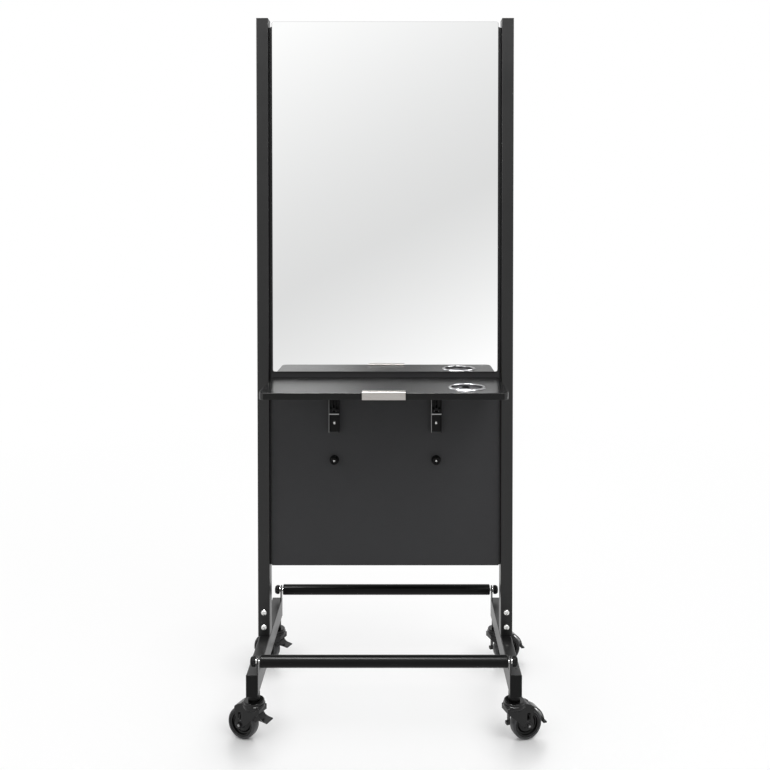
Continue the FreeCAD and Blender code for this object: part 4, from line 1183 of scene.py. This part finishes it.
@dataclass
class FootRails:
    """Front and rear foot rails with end plugs, studs and clamping knobs."""

    shop: Workshop
    tube_wall: float = 1.5
    plug_long: float = 20.0
    plug_flange: float = 3.0
    play: float = 0.3
    stud: float = 4.0
    stud_long: float = 31.0
    collar: float = 6.5
    collar_half: float = 3.0
    knob_radius: float = 12.0
    knob_tall: float = 13.0
    flutes: int = 18
    flute_radius: float = 1.0

    def build(self) -> None:
        """Make and dress both rails."""
        for side in Side:
            self._tube(f"{side.value}_foot_rail")
        self._ends()

    def _tube(self, name: str) -> None:
        """Round tube with rounded cut ends."""
        low, high = span(name)
        radius = (high.z - low.z) / 2
        half = (high.x - low.x) / 2
        bore = radius - self.tube_wall
        profile = [(bore, -half + 0.2), (bore + 0.3, -half), (radius - 0.4, -half),
                   (radius, -half + 0.4), (radius, 0.0), (radius, half - 0.4),
                   (radius - 0.4, half), (bore + 0.3, half), (bore, half - 0.2),
                   (bore, -half + 0.2)]
        place = (Matrix.Translation((low + high) / 2 * MM)
                 @ Matrix.Rotation(math.pi / 2, 4, "Y"))
        self.shop.keep(f"{name}_tube", finished(turned(profile, 96)), name, "rail_gloss_black",
                       place)

    @staticmethod
    def _seats(reach: float) -> list[Seat]:
        """Seats on the axes of both rails, this far from the middle, facing outwards."""
        centres = [middle_of(f"{side.value}_foot_rail") for side in Side]
        return [(Vector((sign * reach, centre.y, centre.z)), Vector((sign, 0.0, 0.0)))
                for sign in (-1, 1) for centre in centres]

    def _ends(self) -> None:
        """Plugs, studs and knobs at the four rail ends."""
        low, high = span("front_foot_rail")
        radius = (high.z - low.z) / 2
        sleeve = radius - self.tube_wall - self.play
        bore = self.stud + self.play
        plug = rounded([(bore, 0.0), (radius - 1.6, 0.0), (radius, -1.8),
                        (radius, -self.plug_flange), (sleeve, -self.plug_flange),
                        (sleeve, -self.plug_long), (bore, -self.plug_long)],
                       [0, 0.8, 0.9, 0.2, 0.2, 0.6, 0]) + [(bore, 0.0)]
        self.shop.lay("rail_plugs", "turned", finished(turned(plug, 72)),
                      self._seats(span("rail_plugs")[1].x))
        half = self.collar_half
        stud = rounded([(0.0, -self.stud_long), (self.stud, -self.stud_long),
                        (self.stud, -half), (self.collar, -half), (self.collar, half),
                        (0.0, half)], [0, 0.6, 0.1, 0.5, 0.5, 0])
        self.shop.lay("rail_bolts", "turned", finished(turned(stud)),
                      self._seats(span("rail_bolts")[1].x - half))
        self._knobs(self._seats(span("rail_knobs")[1].x - self.knob_tall))

    def _knobs(self, seats: list[Seat]) -> None:
        """Turned knobs whose grip is cut with flutes."""
        tall, flute = self.knob_tall, self.flute_radius
        base = self.knob_radius - flute
        cup, deep = self.collar + self.play, self.collar_half
        profile = rounded([(0.0, deep), (cup, deep), (cup, 0.0), (base * 0.9, 0.0), (base, 1.2),
                           (base, tall * 0.67), (base * 0.87, tall * 0.91), (base * 0.58, tall),
                           (0.0, tall)],
                          [0, 0.2, 0.3, 0.8, 0.8, 1.2, 1.5, 1.5, 0])
        rib = turned(rounded([(0.0, 0.9), (flute, 1.3), (flute, tall * 0.62),
                              (0.0, tall * 0.7)], 0.5), 16)
        lobes = self.shop.ribs.ring(finished(rib), self.shop.finish_of("rail_knobs"),
                                    self.flutes, base)
        joined = join_meshes([finished(turned(profile, 72)), lobes])
        self.shop.lay("rail_knobs", "fluted", joined, seats)


def join_meshes(meshes: Sequence[Mesh]) -> Mesh:
    """Join meshes into one, keeping their shading."""
    objects = [new_object("part", mesh) for mesh in meshes]
    with bpy.context.temp_override(active_object=objects[0], selected_editable_objects=objects):
        bpy.ops.object.join()
    made = objects[0].data
    bpy.data.objects.remove(objects[0])
    return made


@dataclass
class FoldingShelf:
    """One folding shelf with its pull, dryer ring, arms and screws."""

    shop: Workshop
    side: Side
    board_edge: float = 1.0
    pull_edge: float = 0.9
    arm_edge: float = 0.45
    ring_bore: float = 37.0
    ring_wall: float = 1.7
    ring_rim: float = 45.0
    ring_proud: float = 2.6
    ring_under: float = 5.0
    edge_depth: float = 0.5
    screw_head: float = 3.4
    screw_tall: float = 1.6
    screw_shank: float = 1.8

    def build(self) -> None:
        """Make and dress the shelf."""
        name = self.side.value
        board = self.shop.soften(f"{name}_shelf", self.board_edge, "shelf_laminate_black", 3)
        low, high = span(f"{name}_shelf")
        edge = max(abs(low.y), abs(high.y)) - self.edge_depth
        self.shop.repaint(board, "shelf_edge_black",
                          lambda centre, way: abs(centre.y) > edge and abs(way.y) > FACING)
        self.shop.soften(f"{name}_shelf_pull", self.pull_edge, segments=3)
        self.shop.soften(f"{name}_shelf_arms", self.arm_edge)
        self._ring(f"{name}_dryer_ring")
        self._screws(f"{name}_arm_screws")

    def _ring(self, name: str) -> None:
        """Polished ring: a crowned rim and a thin sleeve down through the shelf."""
        centre = middle_of(name)
        shelf = span(f"{self.side.value}_shelf")
        deep = shelf[1].z - shelf[0].z + self.ring_under
        bore, rim, proud = self.ring_bore, self.ring_rim, self.ring_proud
        outer = bore + self.ring_wall
        crown = [(rim - 0.1, 0.35), (rim - 0.7, proud * 0.62), (rim - 2.2, proud * 0.93),
                 (rim - 3.6, proud), (bore + 3.2, proud), (bore + 1.7, proud * 0.95),
                 (bore + 0.5, proud * 0.66), (bore, proud * 0.1)]
        profile = ([(bore, -deep + 0.5), (bore + 0.5, -deep), (outer - 0.4, -deep),
                    (outer, -deep + 0.4), (outer, -0.3), (outer + 0.3, 0.0), (rim - 0.3, 0.0)]
                   + crown + [(bore, -deep + 0.5)])
        place = Matrix.Translation(Vector((centre.x, centre.y, shelf[1].z)) * MM)
        self.shop.keep(f"{name}_crowned", finished(turned(profile, 96)), name, place=place)

    def _screws(self, name: str) -> None:
        """Pan head screws up through the arms."""
        low, high = span(name)
        head, seat = self.screw_head, low.z + self.screw_tall
        ScrewSet(self.shop, name, head, self.screw_tall, self.screw_shank, high.z - seat).build(
            [(Vector((x, y, seat)), DOWN) for x in (low.x + head, high.x - head)
             for y in (low.y + head, high.y - head)])


@dataclass
class FoldBrackets:
    """The fixed channels and the moving catches, braces and pins of both sides."""

    shop: Workshop
    sheet_edge: float = 0.45
    screw_head: float = 4.0
    screw_tall: float = 2.2
    screw_shank: float = 1.9
    screw_long: float = 10.4
    pin_edge: float = 0.35
    face_depth: float = 0.2
    channel_half: float = 13.5
    bar_thick: float = 3.0
    bar_seen: float = 4.6

    def build(self) -> None:
        """Make and dress the brackets."""
        self._channels()
        self.shop.soften("hinge_pins", self.pin_edge)
        for side in Side:
            self._catches(f"{side.value}_catches")
            self.shop.soften(f"{side.value}_braces", self.sheet_edge)
            self.shop.dress(f"{side.value}_brace_pins")
        self._screws()

    def _channels(self) -> None:
        """Wall channels with one flange's front rim painted paler, a painted highlight for the
        glint of the light from that side.
        """
        channels = self.shop.soften("wall_brackets", self.sheet_edge)
        reach = span("wall_brackets")[1]
        rim, middle = reach.y - self.face_depth, reach.x - self.channel_half
        # Painted highlight: one flange's front rim takes the pale grey as if lit from its side.
        self.shop.repaint(channels, "painted_glint_edge", lambda centre, way: (
            abs(centre.y) > rim and abs(way.y) > FACING
            and (abs(centre.x) - middle) * centre.x * centre.y > 0.0))

    def _catches(self, name: str) -> None:
        """Black catches with a bright front bar."""
        catches = self.shop.soften(name, self.sheet_edge, "satin_bar_steel")
        low, high = span(name)
        front = max(abs(low.y), abs(high.y)) - self.bar_seen
        top = low.z + self.bar_thick + self.face_depth
        self.shop.repaint(catches, "bracket_enamel_black",
                          lambda centre, way: centre.z > top or abs(centre.y) < front)

    def _screws(self) -> None:
        """Screws through the channels: the lower ones bright, the upper ones painted black as
        painted shade from the shelf above.
        """
        across, levels = inset_corners("bracket_screws", self.screw_head)
        board = span("bracket_screws")[1].y - self.screw_tall
        screws = ScrewSet(self.shop, "bracket_screws", self.screw_head, self.screw_tall,
                          self.screw_shank, self.screw_long).build(
            [(Vector((x, side.way.y * board, z)), side.way) for side in Side for x in across
             for z in levels])
        middle = sum(levels) / 2
        # Painted shade: the upper screw heads take the black enamel where the shelf shades them.
        self.shop.repaint(screws, "bracket_enamel_black",
                          lambda centre, way: centre.z > middle)


@dataclass
class Bumpers:
    """Rubber pads with a recessed screw."""

    shop: Workshop
    radius: float = 12.0
    top: float = 9.4
    tall: float = 18.2
    recess: float = 5.0
    seat: float = 12.5
    bore: float = 1.9
    screw_head: float = 4.2
    screw_tall: float = 2.6
    screw_shank: float = 1.6
    screw_long: float = 20.9

    def build(self) -> None:
        """Make and dress the pads and their screws."""
        low, high = span("bumpers")
        middle = (low.z + high.z) / 2
        outer = rounded([(self.bore, 0.0), (self.radius, 0.0), (self.radius, 2.0),
                         (self.top, self.tall - 1.0), (self.top - 2.2, self.tall),
                         (self.recess, self.tall), (self.recess - 0.2, self.seat),
                         (self.bore, self.seat)], [0, 0.3, 1.0, 1.8, 1.6, 0.6, 0.3, 0])
        seats, screws = [], []
        for side in Side:
            board = side.way.y * (high.y - self.tall)
            for x in (low.x + self.radius, high.x - self.radius):
                seats.append((Vector((x, board, middle)), side.way))
                screws.append((Vector((x, board + side.way.y * self.seat, middle)), side.way))
        self.shop.lay("bumpers", "moulded", finished(turned(outer + [(self.bore, 0.0)], 64)),
                      seats)
        ScrewSet(self.shop, "bumper_screws", self.screw_head, self.screw_tall,
                 self.screw_shank, self.screw_long).build(screws)


@dataclass
class Caster:
    """One braked swivel caster."""

    shop: Workshop
    corner: str
    trail: float = 30.0
    wheel_radius: float = 37.5
    tyre_half: float = 12.5
    tread_radius: float = 31.0
    tread_half: float = 10.5
    hub_radius: float = 9.0
    hub_half: float = 13.8
    rim_radius: float = 26.6
    axle: float = 4.0
    axle_play: float = 0.05
    axle_seat: float = 18.2
    fork_edge: float = 1.0
    race_low: float = 84.5
    race_radius: float = 27.0
    axle_eye: float = 2.5
    eye_facing: float = 0.5
    lever_edge: float = 0.6

    @property
    def place(self) -> Matrix:
        """Swivel axis on the floor, with +x towards the trailing wheel."""
        swivel, roll = [Vector(joint["pos_m"]) for end in ("swivel", "roll")
                        for joint in frame["joints"] if joint["name"] == f"{self.corner}_{end}"]
        way = roll - swivel
        return (Matrix.Translation((swivel.x, swivel.y, 0.0))
                @ Matrix.Rotation(math.atan2(way.y, way.x), 4, "Z"))

    @property
    def hub(self) -> Matrix:
        """Wheel centre, with z along the axle."""
        return (self.place @ Matrix.Translation(Vector((self.trail, 0.0, self.wheel_radius)) * MM)
                @ Matrix.Rotation(-math.pi / 2, 4, "X"))

    def build(self) -> None:
        """Make and dress the caster."""
        self._fork()
        self._wheel()
        self._tyre()
        self._axle()
        self.shop.soften(f"{self.corner}_brake", self.lever_edge, segments=3)

    def _fork(self) -> None:
        """Fork with soft edges and a glossy swivel race on top."""
        fork = self.shop.soften(f"{self.corner}_fork", self.fork_edge, segments=3)
        middle = self.place.translation / MM
        self.shop.repaint(fork, "swivel_race_black", lambda centre, way: (
            centre.z > self.race_low and (centre - middle).xy.length < self.race_radius))

    def _wheel(self) -> None:
        """Dished wheel: hub, smooth web and rim."""
        bore, rim = self.axle + self.axle_play, self.rim_radius
        name = f"{self.corner}_wheel"
        side = rounded([(bore, self.hub_half), (self.hub_radius - 0.4, self.hub_half),
                        (self.hub_radius + 1.6, 8.2), (19.5, 6.4), (rim - 3.0, 3.4),
                        (rim - 0.6, 4.4), (rim, self.tread_half),
                        (self.tread_radius, self.tread_half)],
                       [0, 0.6, 2.4, 4.0, 1.6, 1.2, 0.5, 0])
        self.shop.keep(f"{name}_dished", finished(turned(both_faces(side), 72)), name,
                       place=self.hub)

    def _tyre(self) -> None:
        """Tyre with rounded shoulders and a raised line on each wall."""
        inner, outer = self.tread_radius, self.wheel_radius
        wall = self.tyre_half
        side = [(inner, self.tread_half), (inner + 0.5, wall - 0.9), (inner + 1.3, wall - 0.1),
                (inner + 1.9, wall), (inner + 2.3, wall - 0.35), (inner + 2.9, wall - 0.4),
                (inner + 3.3, wall - 0.1), (inner + 4.2, wall - 0.5), (outer - 1.2, 10.4),
                (outer - 0.5, 9.0), (outer - 0.1, 6.2), (outer, 2.6)]
        name = f"{self.corner}_tyre"
        self.shop.keep(f"{name}_moulded", finished(turned(both_faces(side), 96), sharp_deg=60),
                       name, place=self.hub)

    def _axle(self) -> None:
        """Axle bolt: low round head on one side, nut on the other."""
        seat, name = self.axle_seat, f"{self.corner}_axle"
        profile = [(0.0, -seat - 2.9), (2.4, -seat - 3.1), (4.2, -seat - 2.6),
                   (5.0, -seat - 1.6), (5.2, -seat - 0.6), (5.0, -seat), (self.axle, -seat),
                   (self.axle, seat), (5.8, seat), (6.6, seat + 0.4, SIX),
                   (6.7, seat + 0.8, SIX), (6.7, seat + 2.6, SIX),
                   (6.2, seat + 3.3, SIX), (5.4, seat + 3.5), (3.4, seat + 3.5),
                   (3.0, seat + 3.1), (0.0, seat + 3.1)]
        bolt = self.shop.keep(f"{name}_bolt", finished(turned(profile)), name,
                              "axle_oxide_black", place=self.hub)
        middle = self.hub.translation / MM
        along = self.hub.to_3x3() @ UP
        self.shop.repaint(bolt, "satin_bar_steel", lambda centre, way: (
            (centre - middle).cross(along).length < self.axle_eye
            and abs(way.dot(along)) > self.eye_facing))


@dataclass
class CasterSet:
    """The four casters and the stems that carry them."""

    shop: Workshop
    corners: tuple[str, ...] = ("front_left", "front_right", "rear_left", "rear_right")
    stem: float = 6.0
    collar: float = 14.0
    collar_gap: float = 0.4
    collar_edge: float = 1.6

    def build(self) -> None:
        """Make the casters, then their stems as one row."""
        casters = [Caster(self.shop, corner) for corner in self.corners]
        for caster in casters:
            caster.build()
        low, high = span("caster_stems")
        stem, collar, edge = self.stem, self.collar, self.collar_edge
        foot = span("front_left_fork")[1].z + self.collar_gap
        leg = span("left_leg")[0].z
        profile = rounded([(0.0, low.z), (stem, low.z), (stem, foot), (collar - edge, foot),
                           (collar, foot + edge), (collar, leg - edge), (collar - edge, leg),
                           (stem, leg), (stem, high.z), (0.0, high.z)],
                          [0, 0.8, 0.3, 0.6, 0.9, 0.9, 0.6, 0.2, 0.9, 0])
        seats = [(caster.place.translation / MM, UP) for caster in casters]
        self.shop.lay("caster_stems", "turned", finished(turned(profile, 64)), seats)


def main() -> None:
    """Build the studio, then every sub-assembly of the station in order."""
    logging.basicConfig(level=logging.INFO, format="%(name)s: %(message)s")
    effects = SurfaceEffects()
    finishes = {finish.name: finish.build(effects) for finish in FINISHES}
    Studio().build()
    shop = Workshop(finishes, FastenerRows(), RibCircle())
    builders = [MainFrame(shop), MirrorBoard(shop), FootRails(shop), FoldBrackets(shop),
                Bumpers(shop), *[FoldingShelf(shop, side) for side in Side], CasterSet(shop)]
    for builder in builders:
        builder.build()
        LOG.info("built %s", type(builder).__name__)


if __name__ == "__main__":
    main()
